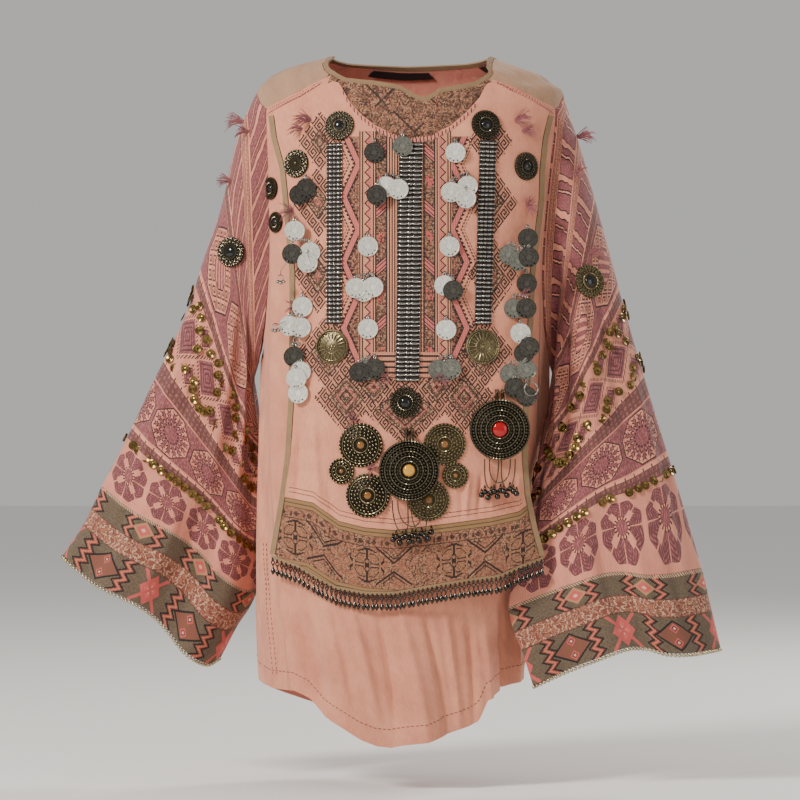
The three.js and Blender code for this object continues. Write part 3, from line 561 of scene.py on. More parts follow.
body_piece("front_panel", 0, 33.4, FRONT_CREASES)
body_piece("back_panel", 180, 34, BACK_CREASES)


# Yokes: taupe cotton over each shoulder, cut from the neck to the armhole. Their edges are sewn
# over the front and back panels.
YOKE_COLUMNS = (YOKE_LOW[0, 0] + 0.6, YOKE_LOW[-1, 0] - 0.6)
taupe_cotton = cotton("taupe_cotton", srgb(172, 134, 106), srgb(140, 102, 78))
YOKE_CREASES = [(40, 14, 48, -22, 3, 1.1), (52, 18, 60, -30, 3, -1.1), (66, 22, 70, -20, 3, 1),
                (112, 16, 108, -24, 3, -1), (128, 14, 124, -14, 3, 1)]
for side, yoke_name in ((-1, "yoke_right"), (1, "yoke_left")):
    from_front = np.linspace(*YOKE_COLUMNS, 90)
    angle = from_front if side > 0 else 360 - from_front
    top = below(angle, neck_edge(angle), BINDING_WIDTH + 3 * SEAM)
    z = top[:, None] + (yoke_low(angle) - top)[:, None] * np.linspace(0, 1, 26)
    angle = np.broadcast_to(angle[:, None], z.shape)
    from_front = np.broadcast_to(from_front[:, None], z.shape)
    normals = body_normal(angle, z)
    points = body(angle, z) + normals * creased(from_front, z, YOKE_CREASES)[..., None]
    uv = unrolled(points)
    yoke = cloth(f"{yoke_name}_cloth", points, uv, normals, taupe_cotton)
    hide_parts(yoke_name)


# Neck binding: a bias strip of khaki twill, folded over the neck's raw edge all the way round and
# sewn down on both faces.
BINDING_CLOTH = 2.2  # thickness of a folded binding


def twill_tape(name, colour, deep):
    material, inputs, u, v = finish_of(name, 0.85, sheen=0.1)
    ribs = (u + v).wave(1.7)
    feed(washed(colour, deep, u, v).over(deep, ribs * 0.35), inputs["Base Color"])
    raised(ribs * 0.6 + noise(u, v, 6) * 0.4, 0.3, inputs)
    return material


khaki_tape = twill_tape("khaki_tape", srgb(152, 124, 90), srgb(108, 82, 56))
angle = np.linspace(-90, 270, 300, endpoint=False)
share = np.linspace(0, 1, 5)
z = np.stack([below(angle, neck_edge(angle), BINDING_WIDTH * s) for s in share], 1)
angle = np.broadcast_to(angle[:, None], z.shape)
points = body(angle, z)
around = lengths(np.concatenate([points, points[:1]]), 0)
uv = np.stack([around, np.broadcast_to(share * BINDING_WIDTH, around.shape)], -1)
neck_strip = piece(
    "neck_binding_tape", wall(points, BINDING_CLOTH, uv, True, body_normal(angle, z)),
    [khaki_tape] * 2)
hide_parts("neck_binding")


# Neck inset: the crescent of patterned brown cloth that shows above the apron's scooped top. It has
# the same dense weave as the border, with dark crossed lines.
INSET_LIFT = 2.4
APRON_TOP = np.array([
    (-164, -42), (-124, -24), (-86, -6), (-79, -8), (-75, -15), (-66, -31), (-53, -46), (-37, -59),
    (-15, -70), (5, -74), (29, -70), (51, -59), (69, -43), (84, -26), (92, -10), (98, -7),
    (140, -25), (172, -42),
], float)
BROWN, DARK_BROWN, TAN = srgb(118, 80, 60), srgb(50, 33, 25), srgb(164, 121, 91)
DARK_THREAD = srgb(34, 18, 16)


def specks(u, v, cell=1.3):
    """A random value for each stitch of a dense ground."""
    place = u.node("ShaderNodeCombineXYZ", inputs={0: u.stepped(cell), 1: v.stepped(cell)})
    return u.node("ShaderNodeTexWhiteNoise", {"noise_dimensions": "2D"}, {"Vector": place})


CHART_SCALE = 65536  # two to the power of the stitches in the widest chart


def charted(rows, column, row):
    """1 where a stitch chart has a mark. Columns and rows are counted in stitches from its corner,
    and a chart has at most 16 columns and 32 rows. Row by row, its marks become one number."""
    marks = [
        sum(1 << i for i, mark in enumerate(line) if mark == "#") / CHART_SCALE for line in rows]
    stops = [(i / len(rows), (value, value, value)) for i, value in enumerate(marks)]
    line = row.node(
        "ShaderNodeValToRGB", {"label": "steps", "stops": stops},
        {0: (row.math("FLOOR") + 0.5) / len(rows)})
    place = line.node(
        "ShaderNodeMath", {"operation": "POWER"}, {0: 2.0, 1: column.math("FLOOR")})
    marked = ((line * CHART_SCALE) / place + 0.001).math("FLOOR").every(2)
    return marked * column.within(-0.5, len(rows[0])) * row.within(-0.5, len(rows))


def brown_ground(u, v):
    """Dense brown stitches with lighter, darker and reddish ones among them."""
    stitch = specks(u, v)
    ground = dyed(u, BROWN).over(TAN, (stitch > 0.66) * 0.7)
    ground = ground.over(srgb(142, 76, 60), stitch.within(0.3, 0.46) * 0.8)
    return ground.over(DARK_BROWN, (stitch < 0.26) * 0.85)


# Quarter of the border's medallion, mirrored both ways: a cross of bars in a ring, with anchors.
MEDALLION = [
    "##..............",
    "##.########..#..",
    ".#.#......#..##.",
    "..#..........###",
    ".#............##",
    "##........#....#",
    "#.........#....#",
    "#........#.....#",
    "#.......#.......",
    "#......#........",
    "#.#####.........",
    "#...............",
    "#.....###.......",
    "#..####.........",
    "#####...........",
    "###.............",
]


def crossed_lines(u, v, pitch):
    return ((u + v).wave(pitch) < 0.06).either((u - v).wave(pitch * 1.3) < 0.05)


inset_cloth, inputs, u, v = finish_of("inset_cloth", 0.9, sheen=0.1)
blotch = noise(u, v, 14)
broken = noise(u, v, 30) > 0.46
inset_colour = brown_ground(u, v).over(DARK_THREAD, crossed_lines(u, v, 58) * broken * 0.85)
wandering = abs(noise(u, v, 17, 1.0) - 0.5) < 0.022
inset_colour = inset_colour.over(DARK_THREAD, wandering * 0.6)
feed(inset_colour.over(DARK_BROWN, (blotch > 0.58) * 0.45), inputs["Base Color"])
raised(specks(u, v) * 0.6 + noise(u, v, 8) * 0.4, 0.35, inputs)

angle = np.linspace(-32, 33, 90)
top = under_binding(angle)
low = np.minimum(straight(APRON_TOP, body(angle, -50)[..., 0]) - 9, top - 4)
z = top[:, None] + (low - top)[:, None] * np.linspace(0, 1, 30)
angle = np.broadcast_to(angle[:, None], z.shape)
normals = body_normal(angle, z)
points = body(angle, z) + normals * INSET_LIFT
uv = np.stack([points[..., 0], points[..., 2]], -1)
inset = cloth("neck_inset_cloth", points, uv, normals, inset_cloth, thick=CLOTH - 0.2)
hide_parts("neck_inset")


# Neck label and small tab: plain black satin, woven narrow, sewn inside the back of the neck. Both
# are left blank.
black_satin, inputs, u, v = finish_of("black_satin", 0.5)
inputs["Base Color"].default_value = srgb(20, 18, 20)
raised(weave(u, v, 0.6), 0.1, inputs)
LABELS = [
    # name, first and last angle, drop, depth inside the body's surface, width in metres
    ("neck_label", 167, 198, 11, 2.6, 0.079), ("size_tab", 121, 133, 12, 1.7, 0.022),
]
for label_name, start, end, drop, depth, wide in LABELS:
    angle = np.linspace(start, end, 24)
    top = below(angle, neck_edge(angle), BINDING_WIDTH + 2)
    z = np.stack([below(angle, top, drop * share) for share in np.linspace(0, 1, 7)], 1)
    angle = np.broadcast_to(angle[:, None], z.shape)
    normals = body_normal(angle, z)
    points = body(angle, z) - normals * depth
    uv = unrolled(points)
    label = piece(f"{label_name}_satin", wall(points, 0.8, uv, normals=normals), [black_satin] * 2)
    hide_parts(label_name)


# Apron: a second layer of the pink cotton over the chest, embroidered down to the waist. It is sewn
# in at the yoke seam and bound down its sides, and hangs free below.
APRON_LIFT = 5.2  # from the front's middle surface to the apron's
HANG_OUT, HANG_RIGHT, HANG_LEFT = 9, 205, 250  # bulge and half widths of the free part's curve
APRON_SIDES = np.array([
    # z, left, right
    (0, -162, 173), (-42, -162, 172), (-71, -158, 165), (-107, -148, 161), (-145, -144, 160),
    (-228, -136, 149), (-300, -136, 145.5), (-376, -137, 141), (-442, -141, 139),
    (-487, -147, 142.5), (-527, -154, 151), (-556, -159, 159), (-620, -163, 166),
], float)
BORDER_TOP = np.array([
    (-150, -488), (-108, -496), (-78, -517), (-49, -524), (-15, -527), (18, -523), (51, -519),
    (96, -513), (129, -506), (150, -490),
], float)
APRON_LOW = np.array([
    (-160, -556), (-126, -567), (-104, -580), (-82, -591), (-48, -597), (-15, -597), (29, -589),
    (73, -582), (107, -578), (129, -568), (160, -557),
], float)


def front_y(x, z):
    """The depth of the front panel, as a half ellipse between its sides."""
    left, right = smooth(BODY, z, 1), smooth(BODY, z, 2)
    share = (x - (left + right) / 2) / ((right - left) / 2)
    return -smooth(BODY, z, 3) * np.sqrt(np.maximum(1 - share**2, 0.03))


def apron_y(x, z):
    """The apron's depth: close to the front above, hanging free and flatter below."""
    x, z = np.broadcast_arrays(np.asarray(x, float), np.asarray(z, float))
    slope_x = (front_y(x + 1, z) - front_y(x - 1, z)) / 2
    slope_z = (front_y(x, z + 1) - front_y(x, z - 1)) / 2
    close = front_y(x, z) - APRON_LIFT * np.minimum(np.sqrt(1 + slope_x**2 + slope_z**2), 2)
    hang = np.where(x < 0, HANG_RIGHT, HANG_LEFT)
    free = -(smooth(BODY, z, 3) + HANG_OUT) * np.sqrt(1 - (x / hang) ** 2)
    return close + (free - close) * eased(-z, 90, 430)


def apron_point(x, z):
    """A place on the apron's middle surface."""
    x, z = np.broadcast_arrays(np.asarray(x, float), np.asarray(z, float))
    return np.stack([x, apron_y(x, z), z], -1)


def apron_normal(x, z, reach=1.0):
    across = apron_point(x + reach, z) - apron_point(x - reach, z)
    down = apron_point(x, z - reach) - apron_point(x, z + reach)
    return unit(np.cross(down, across))


def apron_grid(columns, rows, top_of, low_of, margin):
    """X and Z of a stretch of the apron between two edges and inside its bound sides."""
    share = np.linspace(0, 1, columns)

    def across(z):
        left = straight(APRON_SIDES, z) + margin
        return left + (straight(APRON_SIDES, z, 2) - margin - left) * share

    def settled(edge):
        z = np.full(columns, -60.0)
        for _ in range(12):
            z = edge(across(z))
        return z

    top, low = settled(top_of), settled(low_of)
    z = top[:, None] + (low - top)[:, None] * np.linspace(0, 1, rows)
    x = np.stack([across(z[:, row]) for row in range(rows)], 1)
    return x, z


# Half of the key pattern that fills the diamonds' bands, and it repeats both ways.
KEY = [
    "#.......",
    "#.#####.",
    "#.#...#.",
    "#.#.#.#.",
    "#.#.###.",
    "#.#.....",
    "#.######",
    "........",
]
CHEST_MIDDLE, STITCH, KEY_STITCH = -2, 1.35, 1.9
# Diamonds of the chest by distance from its middle: their centres and half sizes.
DIAMONDS = [
    (99, -77, 25, 34), (101, -148, 28, 40), (101, -233, 28, 42), (88, -322, 36, 46),
    (68, -374, 36, 42), (0, -388, 50, 42), (36, -362, 30, 34),
]
ROSE = srgb(184, 98, 90)

embroidered_chest, inputs, u, v = finish_of("embroidered_chest", 0.88, sheen=0.15)
across, height = abs(u - CHEST_MIDDLE), v
ground = washed(PINK, DEEP_PINK, u, v)
brown = brown_ground(u, v)
# How far inside the nearest diamond a stitch is, in millimetres.
depth = None
for middle, level, half_width, half_height in DIAMONDS:
    inward = 1 - abs(across - middle) / half_width - abs(height - level) / half_height
    inward = inward * (0.8 * half_width)
    depth = inward if depth is None else depth.either(inward)
rising, falling = across + height * 0.75, across - height * 0.75
key_mark = charted(KEY, (rising / KEY_STITCH).every(8), (falling / KEY_STITCH).every(8))
cross_mark = (rising.wave(9) < 0.3).either(falling.wave(9) < 0.3)
speckled = brown.over(DARK_THREAD, (noise(u, v, 3.4, 1.0) > 0.56) * 0.75)
ragged = (noise(u, v, 5, 1.0) - 0.5) * 7
chest = ground.over(brown, (depth + ragged > 1) * 0.4)
chest = chest.over(DARK_THREAD, depth.within(-1.5, 12) * key_mark)
chest = chest.over(speckled, depth > 12)
chest = chest.over(srgb(188, 142, 112), (depth > 13) * (specks(u, v) > 0.5) * 0.5)
chest = chest.over(DARK_THREAD, depth.within(11.2, 12.6).either(depth.within(15, 16)) * 0.9)
chest = chest.over(DARK_THREAD, (depth > 16) * cross_mark * (specks(u, v) > 0.5) * 0.8)
chest = chest.over(ROSE, depth.within(19, 22) * 0.4).over(DARK_THREAD, depth.within(22, 23.4))

# Between the bar strips: saw-toothed rose bands that go in and out, with brown fields behind them.
ROSE_IN, ROSE_SWING, ROSE_PERIOD, ROSE_LEVEL = 54, 17, 76, -180
BESIDE_PANEL, BESIDE_LEVELS = (50, 90), (-334, -72)
rose_edge = (height - ROSE_LEVEL).wave(ROSE_PERIOD) * ROSE_SWING + ROSE_IN
off_rose = across - rose_edge
panel_field = across.within(*BESIDE_PANEL) * height.within(*BESIDE_LEVELS)
fields = speckled.over(ROSE, ((across * 1.3 + height).wave(9) < 0.22) * 0.35)
chest = chest.over(fields, panel_field * (off_rose < -4))
chest = chest.over(ROSE, panel_field * (abs(off_rose) < 4.2))
saw = abs(off_rose).within(3.4, 6.4) * (height.wave(4.6) > 0.4)
chest = chest.over(DARK_THREAD, panel_field * saw.either(abs(off_rose).within(3.2, 4.4)))
outer_line = off_rose.within(9.5, 11.5).either(off_rose.within(13, 14)) * panel_field
chest = chest.over(DARK_THREAD, outer_line * (height.wave(3.8) > 0.3) * 0.9)

# The middle panel, by distance from its middle: stripes, brown fields with slanted rose bars, a
# zigzag column and more stripes.
PANEL_HALF, PANEL_LEVELS = 53.5, (-352, -66)
FIELD_IN, FIELD_OUT, COLUMN_IN, COLUMN_OUT = 21.5, 34, 39, 48
panel = (across < PANEL_HALF) * height.within(*PANEL_LEVELS)
field = across.within(FIELD_IN, FIELD_OUT)
stripes = (across < FIELD_IN).either(across.within(FIELD_OUT, COLUMN_IN))
stripes = stripes.either(across > COLUMN_OUT)
chest = chest.over(srgb(196, 134, 104), panel)
chest = chest.over(speckled, panel * field)
chest = chest.over(DARK_THREAD, panel * stripes * ((across + 0.4).wave(3.1) < 0.46))
column = across.within(COLUMN_IN, COLUMN_OUT)
zigzag = height.wave(12) * 6 + 40.5
chest = chest.over(ROSE, panel * column * (zigzag > across) * 0.9)
chest = chest.over(DARK_THREAD, panel * column * (abs(zigzag - across) < 0.9))
slant = (height + across * 0.9).wave(66)
bar_edges = slant.within(0.17, 0.22).either(slant.within(0.06, 0.1))
chest = chest.over(ROSE, panel * field * (slant < 0.17))
chest = chest.over(DARK_THREAD, panel * field * bar_edges)
flower = ((height + 33 + across * 0.9).wave(66) < 0.2) * across.within(24, 32)
chest = chest.over(srgb(186, 76, 74), panel * flower * (specks(u, v, 2.2) > 0.5))
field_edges = (abs(across - FIELD_IN) < 0.8).either(abs(across - FIELD_OUT) < 0.8)
chest = chest.over(DARK_THREAD, panel * field_edges)
# Crossing stripes at the panel's foot.
foot = (across < 38) * height.within(-352, -322)
chest = chest.over(srgb(190, 124, 98), foot).over(DARK_THREAD, foot * (height.wave(6.4) < 0.36))
feed(chest, inputs["Base Color"])
worked = (depth > 0).either(panel).either(panel_field * (off_rose < 12))
stitch_height = (u.wave(STITCH * 2) * v.wave(STITCH * 2)) * worked
raised(
    stitch_height * 0.5 + noise(u, v, 8, 4.0, 2.0) * 0.4 + noise(u, v, 34, 2.0, 1.8) * 0.7,
    1.3, inputs)

# Creases of the hanging part by X and Z: the slack round the discs and above the border.
APRON_CREASES = [
    (-108, -395, -100, -500, 4, 3.6), (-124, -400, -130, -500, 3.4, -3.4),
    (-92, -470, -86, -512, 4, -2.5), (-136, -420, -142, -500, 4, 3.1),
    (72, -462, 66, -515, 3.2, 3.1), (86, -462, 82, -512, 2.8, -2.8), (97, -462, 98, -506, 3, 3.1),
    (112, -470, 114, -502, 3, -2.8), (127, -460, 129, -500, 4, 3.4), (62, -476, 64, -516, 3, -2.2),
    (-20, -500, -26, -524, 4, -2.2), (-128, -130, -146, -250, 5, 1.1),
]
APRON_MARGIN = BINDING_WIDTH + 3 * SEAM
x, z = apron_grid(
    150, 170, lambda x: straight(APRON_TOP, x), lambda x: straight(BORDER_TOP, x) + SEAM,
    APRON_MARGIN)
normals = apron_normal(x, z)
out = creased(x, z, APRON_CREASES) * eased(-z, 60, 120)
points = apron_point(x, z) + normals * out[..., None]
uv = np.stack([x, z], -1)
apron = cloth("apron_cloth", points, uv, normals, embroidered_chest)
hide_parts("apron")


# Border band: patterned brown cloth across the apron's foot, with khaki edge bands, a row of small
# crosses and dots, and medallions between crossed bars.
border_cloth, inputs, u, v = finish_of("border_cloth", 0.9, sheen=0.1)
# v runs down from the band's upper edge here, and u across the apron.
BORDER_CELL, MEDALLION_LEVEL, MARK_PITCH = 1.25, 43, 15
MEDALLION_PLACES, CHEVRON_PLACES = (-129, -46, 54, 134), (-95, -15, 90)
border = brown_ground(u, v).over(srgb(142, 88, 64), (noise(u, v, 22) > 0.5) * 0.4)
beside = None
for place in MEDALLION_PLACES:
    away = abs(u - place)
    beside = away if beside is None else beside.math("MINIMUM", away)
level = abs(v - MEDALLION_LEVEL)
medallion = charted(MEDALLION, beside / BORDER_CELL, level / BORDER_CELL)
border = border.over(srgb(140, 96, 66), ((beside * beside + level * level) < 390) * 0.4)
border = border.over(DARK_THREAD, medallion)
for place in CHEVRON_PLACES:
    away = abs(u - place)
    chevron = (away < 21) * (abs(level - 5 - away * 0.8) < 1.3)
    second = (away < 13) * (abs(level - 9.5 - away * 0.8) < 0.8)
    border = border.over(DARK_THREAD, chevron.either(second) * (level < 23))
row_marks = v.within(13, 19) * (abs(v - 16) + abs(u.every(MARK_PITCH) - 7) < 3.4)
dots = v.within(14, 19) * (u.every(MARK_PITCH) < 2.2)
border = border.over(DARK_THREAD, row_marks.either(dots) * 0.8)
border = border.over(DARK_BROWN, (abs(v - 21.5) < 0.6) * 0.8)
edges = (v < 9.5).either(v > 69)
border = border.over(srgb(136, 102, 66), edges)
border = border.over(DARK_BROWN, edges * (v.wave(4.6) < 0.26) * 0.75)
feed(border, inputs["Base Color"])
raised(specks(u, v) * 0.5 + noise(u, v, 10) * 0.5, 0.35, inputs)

x, z = apron_grid(
    150, 40, lambda x: straight(BORDER_TOP, x), lambda x: straight(APRON_LOW, x), APRON_MARGIN)
normals = apron_normal(x, z)
ripple = creased(x, z, [
    (-96, -505, -92, -590, 7, 1.6), (20, -530, 24, -590, 8, -1.2), (100, -515, 96, -580, 6, 1.4),
    (-30, -530, -36, -595, 7, 1.0), (66, -520, 62, -580, 6, -1.2)])
points = apron_point(x, z) + normals * ripple[..., None]
uv = np.stack([x, z[:, :1] - z], -1)
border_band = cloth("apron_border_cloth", points, uv, normals, border_cloth)
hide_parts("apron_border")


# Apron bindings: strips of the neck's khaki twill, folded over each side edge of the apron and
# sewn down, from the yoke seam to the apron's foot.
for sign, binding_name, column in ((-1, "apron_binding_right", 1), (1, "apron_binding_left", 2)):
    z = np.linspace(-44, straight(APRON_LOW, sign * 158.0), 120)
    z = np.broadcast_to(z[None], (5, 120))
    share = np.linspace(0, 1, 5)[:, None]
    x = straight(APRON_SIDES, z, column) - sign * BINDING_WIDTH * (share if sign < 0 else 1 - share)
    points = apron_point(x, z)
    uv = unrolled(points)
    binding = piece(f"{binding_name}_tape", wall(points, BINDING_CLOTH, uv), [khaki_tape] * 2)
    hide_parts(binding_name)


# Sleeves: pink cotton, embroidered all round in bands that follow the hem, set into the armholes
# and widening to the cuffs. The whole cut is a wide tapered sleeve sewn under the arm.
ARM_COLUMNS = {"above": 0, "outX": 1, "outZ": 2, "outY": 3, "inX": 4, "inZ": 5, "inY": 6, "half": 7}
RIGHT_ARM = np.array([
    (560, -191, -42, 0, -181, -350, 8, 42),
    (520, -204, -84, 0, -182, -368, 20, 45),
    (455, -219, -149, 2, -180, -402, 31, 46),
    (385, -241, -214, 4, -177, -440, 38, 45),
    (320, -262, -278, 6, -175, -478, 42, 43),
    (235, -301, -358, 8, -174, -520, 44, 41),
    (150, -335, -430, 10, -174, -560, 46, 40),
    (95, -361, -479, 12, -178, -600, 46, 39),
    (66, -373, -505, 12, -188, -624, 44, 39),
    (43, -383, -525, 13, -202, -645, 40, 40),
    (0, -407, -561, 14, -222, -683, 34, 42),
], float)
LEFT_ARM = np.array([
    (600, 192, -42, 0, 174, -352, -10, 42),
    (555, 205, -80, 0, 170, -368, -22, 44),
    (480, 223, -145, -2, 166, -400, -36, 43),
    (420, 239, -204, -6, 158, -432, -48, 41),
    (345, 256, -270, -12, 150, -466, -60, 38),
    (250, 283, -364, -20, 142, -506, -68, 36),
    (175, 306, -441, -28, 132, -548, -74, 35),
    (125, 325, -505, -34, 123, -588, -78, 35),
    (95, 345, -574, -38, 119, -618, -80, 35),
    (66, 352, -603, -40, 125, -646, -82, 36),
    (43, 357, -625, -41, 134, -668, -83, 37),
    (0, 367, -667, -42, 147, -708, -84, 39),
], float)
# How far each hem hangs below the line between its edges, by the share of the width from the inner.
RIGHT_HEM = np.array([
    (0, 0), (0.07, 15), (0.16, 18), (0.24, 15), (0.37, 1), (0.5, -3), (0.8, 5), (1, 0)], float)
LEFT_HEM = np.array([
    (0, 0), (0.13, -8), (0.29, -16), (0.48, -24), (0.6, -19), (0.7, -9), (0.83, -3), (1, 0)], float)
# Largest waves of each sleeve: direction, half width, rise, and the distance above the hem that
# they start at.
RIGHT_WAVES = [(132, 13, 9, 420), (108, 13, -9, 260), (72, 16, 7, 240), (45, 14, -5, 200),
               (228, 18, 8, 300), (262, 18, -8, 260), (300, 18, 7, 240)]
LEFT_WAVES = [(128, 14, -7, 260), (103, 12, 9, 300), (80, 10, -9, 280), (52, 14, 7, 260),
              (232, 18, 8, 300), (264, 18, -8, 260), (302, 18, 7, 240)]
# Smaller creases by direction and distance above the hem.
RIGHT_CREASES = [
    (112, 520, 122, 250, 5, 6.8), (128, 500, 140, 300, 4, -5.5), (88, 470, 100, 180, 6, 4.6),
    (60, 420, 64, 200, 6, -3), (38, 330, 44, 60, 6, 3.9), (150, 470, 150, 150, 5, 5.5),
    (84, 140, 86, 4, 4.5, 4.2), (100, 170, 97, 10, 4, -3.9), (120, 150, 118, 5, 4, 3.9),
    (60, 110, 57, 4, 5, 3.4), (205, 520, 215, 260, 7, 5.1), (240, 480, 244, 160, 7, -4.2),
    (275, 500, 270, 120, 7, 4.6), (318, 420, 312, 90, 7, -3.9), (340, 300, 336, 20, 6, 3.4),
    (255, 150, 258, 5, 5, 4.2),
]
LEFT_CREASES = [
    (118, 560, 124, 300, 5, 6.4), (100, 540, 112, 260, 4, -5.1), (76, 500, 84, 220, 6, 4.6),
    (52, 430, 58, 160, 6, -3.4), (34, 300, 38, 50, 6, 3.4), (146, 500, 150, 180, 5, -5.1),
    (92, 150, 90, 5, 4, -4.2), (70, 130, 68, 4, 4.5, 3.9), (116, 170, 116, 8, 4, 3.9),
    (46, 110, 44, 4, 5, -3), (208, 540, 214, 240, 7, 4.6), (238, 480, 246, 140, 7, -4.6),
    (280, 520, 274, 120, 7, 4.2), (316, 400, 310, 80, 7, -3.9), (344, 280, 340, 20, 6, 3.4),
    (258, 160, 254, 5, 5, -4.2),
]
ARMS = {
    "right": (-1, RIGHT_ARM, RIGHT_HEM, RIGHT_WAVES, RIGHT_CREASES),
    "left": (1, LEFT_ARM, LEFT_HEM, LEFT_WAVES, LEFT_CREASES),
}
TOP_RUN = 66  # cloth from the armhole to the first ring of the table


def sleeve_ring(arm, way, above):
    """The sleeve's surface by direction round it and distance above its hem. Direction 0 is the
    outer edge, 90 the front and 180 the underarm."""
    side, rings, hem, waves, _ = ARMS[arm]
    share = (1 + np.cos(np.radians(way))) / 2

    def mix(name):
        inner = smooth(rings, above, ARM_COLUMNS["in" + name])
        return inner + (smooth(rings, above, ARM_COLUMNS["out" + name]) - inner) * share

    facing = np.sin(np.radians(way))
    thin = np.where((side > 0) & (way < 180), 0.3 + 0.7 * np.minimum(share * 1.6, 1), 1)
    rise = sum(
        out * eased(start - above, 0, start) * hump(way - wave, width * 1.5)
        for wave, width, out, start in waves)
    half = smooth(rings, above, ARM_COLUMNS["half"])
    forward = (facing * half + rise * np.sign(np.round(facing, 9))) * thin
    drop = smooth(hem, share, 1) * eased(300 - above, 0, 300)
    return np.stack([mix("X"), mix("Y") - forward, mix("Z") - drop], -1)


def armhole_ring(arm, way):
    """The sleeve's top edge, just inside the armhole."""
    side = ARMS[arm][0]
    front = way <= 180
    mirrored = np.where(front, way, 360 - way)
    from_front, z = straight(ARMHOLE, mirrored), straight(ARMHOLE, mirrored, 2)
    point = body(side * np.where(front, from_front, 180 - from_front), z)
    middle = np.array([body(side * 90.0, -170.0)[0], 0, -170])
    point = point + unit(middle - point) * 1.7
    point[..., 0] += side * (0.7 + 2.4 * hump(mirrored - 180, 75))
    return point


def sleeve(arm, way, above):
    """As sleeve_ring, and above the table's first ring straight on up to the armhole."""
    way, above = np.broadcast_arrays(np.asarray(way, float) % 360, np.asarray(above, float))
    highest = ARMS[arm][1][0, 0]
    share = np.clip((above - highest) / TOP_RUN, 0, 1)[..., None]
    ring = sleeve_ring(arm, way, np.minimum(above, highest))
    return ring * (1 - share) + armhole_ring(arm, way) * share


def sleeve_normal(arm, way, above):
    along = sleeve(arm, way + 2, above) - sleeve(arm, way - 2, above)
    up = sleeve(arm, way, above + 3) - sleeve(arm, way, above - 3)
    normal = unit(np.cross(along, up))
    centre = (sleeve(arm, 0, above) + sleeve(arm, 180, above)) / 2
    outward = np.sum((sleeve(arm, way, above) - centre) * normal, -1, keepdims=True)
    return normal * np.where(outward < 0, -1, 1)


def sleeve_cloth(arm, levels, columns=180):
    """Points, normals and uv of a stretch of sleeve: u runs round from the front, and v up from
    the hem."""
    way = np.arange(columns) * 360 / columns
    way, above = np.meshgrid(way, levels, indexing="ij")
    points = sleeve(arm, way, above)
    across = np.roll(points, -1, 0) - np.roll(points, 1, 0)
    normals = unit(np.cross(across, np.gradient(points, axis=1)))
    centre = points.mean(0, keepdims=True)
    if np.sum((points - centre) * normals) < 0:
        normals = -normals
    side = ARMS[arm][0]
    turned = np.where(way > 330, way - 360, way)
    inside = eased(above, 0, 8) * eased(ARMS[arm][1][0, 0] - above, 0, 60)
    points = points + normals * (creased(turned, above, ARMS[arm][4]) * inside)[..., None]
    around = lengths(np.concatenate([points, points[:1]]), 0)
    around = around - around[columns // 4]
    height = np.concatenate([above, above[:1]])
    return points, normals, np.stack([-side * around, height], -1)


def polar(u, v):
    """Distance and direction from a motif's middle, in millimetres and turns."""
    away = (u * u + v * v).math("SQRT")
    return away, v.math("ARCTAN2", u) / math.tau


SATIN, DARK_SATIN = srgb(140, 76, 78), srgb(84, 42, 44)
SLEEVE_PINK, SLEEVE_SHADE = srgb(212, 140, 116), srgb(168, 92, 80)


def tiles(u, v, low, rows, size):
    """Rows of little satin tiles, each outlined in dark thread: their faces, and their outlines."""
    band = v.within(low, low + rows * size)
    across = u.every(size) / size
    down = (v - low).every(size) / size
    face = across.within(0.2, 0.8) * down.within(0.18, 0.82)
    return band * face, band * (1 - face)


embroidered_sleeve, inputs, u, v = finish_of("embroidered_sleeve", 0.86, sheen=0.2)
ground = washed(SLEEVE_PINK, SLEEVE_SHADE, u, v)
threads = noise(u, v, 1.4, 1.0, 4.0)
satin = dyed(u, SATIN).over(DARK_SATIN, (threads > 0.5) * 0.55)
satin = satin.over(srgb(166, 100, 100), (threads < 0.36) * 0.6)
colour = ground

# Plain band with satin flowers: eight blunt petals round a small star.
FLOWER_PITCH, FLOWER_LEVEL, FLOWER_BAND = 56, 126, (95, 157)
du, dv = u.every(FLOWER_PITCH) - FLOWER_PITCH / 2, v - FLOWER_LEVEL
away, turn = polar(du, dv)
petal = (turn * 8).every(1)
blunt = 27 - abs(petal - 0.5) * 6
gap = abs((turn * 4).every(1) - 0.5) * away
petals = (away < blunt) * (away > 9) * (abs(petal - 0.5) < 0.46)
petals = petals * (1 - (gap < 2.1) * away.within(9, 18.5))
flower_band = v.within(*FLOWER_BAND)
stitch_lines = ((away + abs(petal - 0.5) * 14).wave(3.4) < 0.4) * 0.85
colour = colour.over(satin, flower_band * petals)
colour = colour.over(DARK_SATIN, flower_band * petals * stitch_lines)
colour = colour.over(satin, flower_band * (away < 7))
star = away.within(6.8, 9.8) * ((turn * 16).every(1) < 0.42)
colour = colour.over(DARK_THREAD, flower_band * star)

# Snowflakes in octagons with satin corners.
FLAKE_PITCH, FLAKE_LEVEL, FLAKE_BAND = 64, 210, (179, 241)
du, dv = (u + 20).every(FLAKE_PITCH) - FLAKE_PITCH / 2, v - FLAKE_LEVEL
away, turn = polar(du, dv)
octagon = abs(du).either(abs(dv)).either((abs(du) + abs(dv)) * 0.74)
flake_band = v.within(*FLAKE_BAND)
thin_spoke = abs((turn * 16).every(1) - 0.5) * away * 0.39
colour = colour.over(satin, flake_band * (octagon > 29))
colour = colour.over(DARK_THREAD, flake_band * octagon.within(28.2, 29.6))
barbs = thin_spoke.within(0.9, 3.6) * away.within(7, 28)
barbs = barbs * ((away - thin_spoke * 1.3).wave(4.6) < 0.42)
colour = colour.over(satin, flake_band * (thin_spoke < 2.4) * (away < 26))
colour = colour.over(DARK_THREAD, flake_band * barbs)
colour = colour.over(satin, flake_band * (thin_spoke < 0.9) * (away < 26))
colour = colour.over(satin, flake_band * (away < 5))

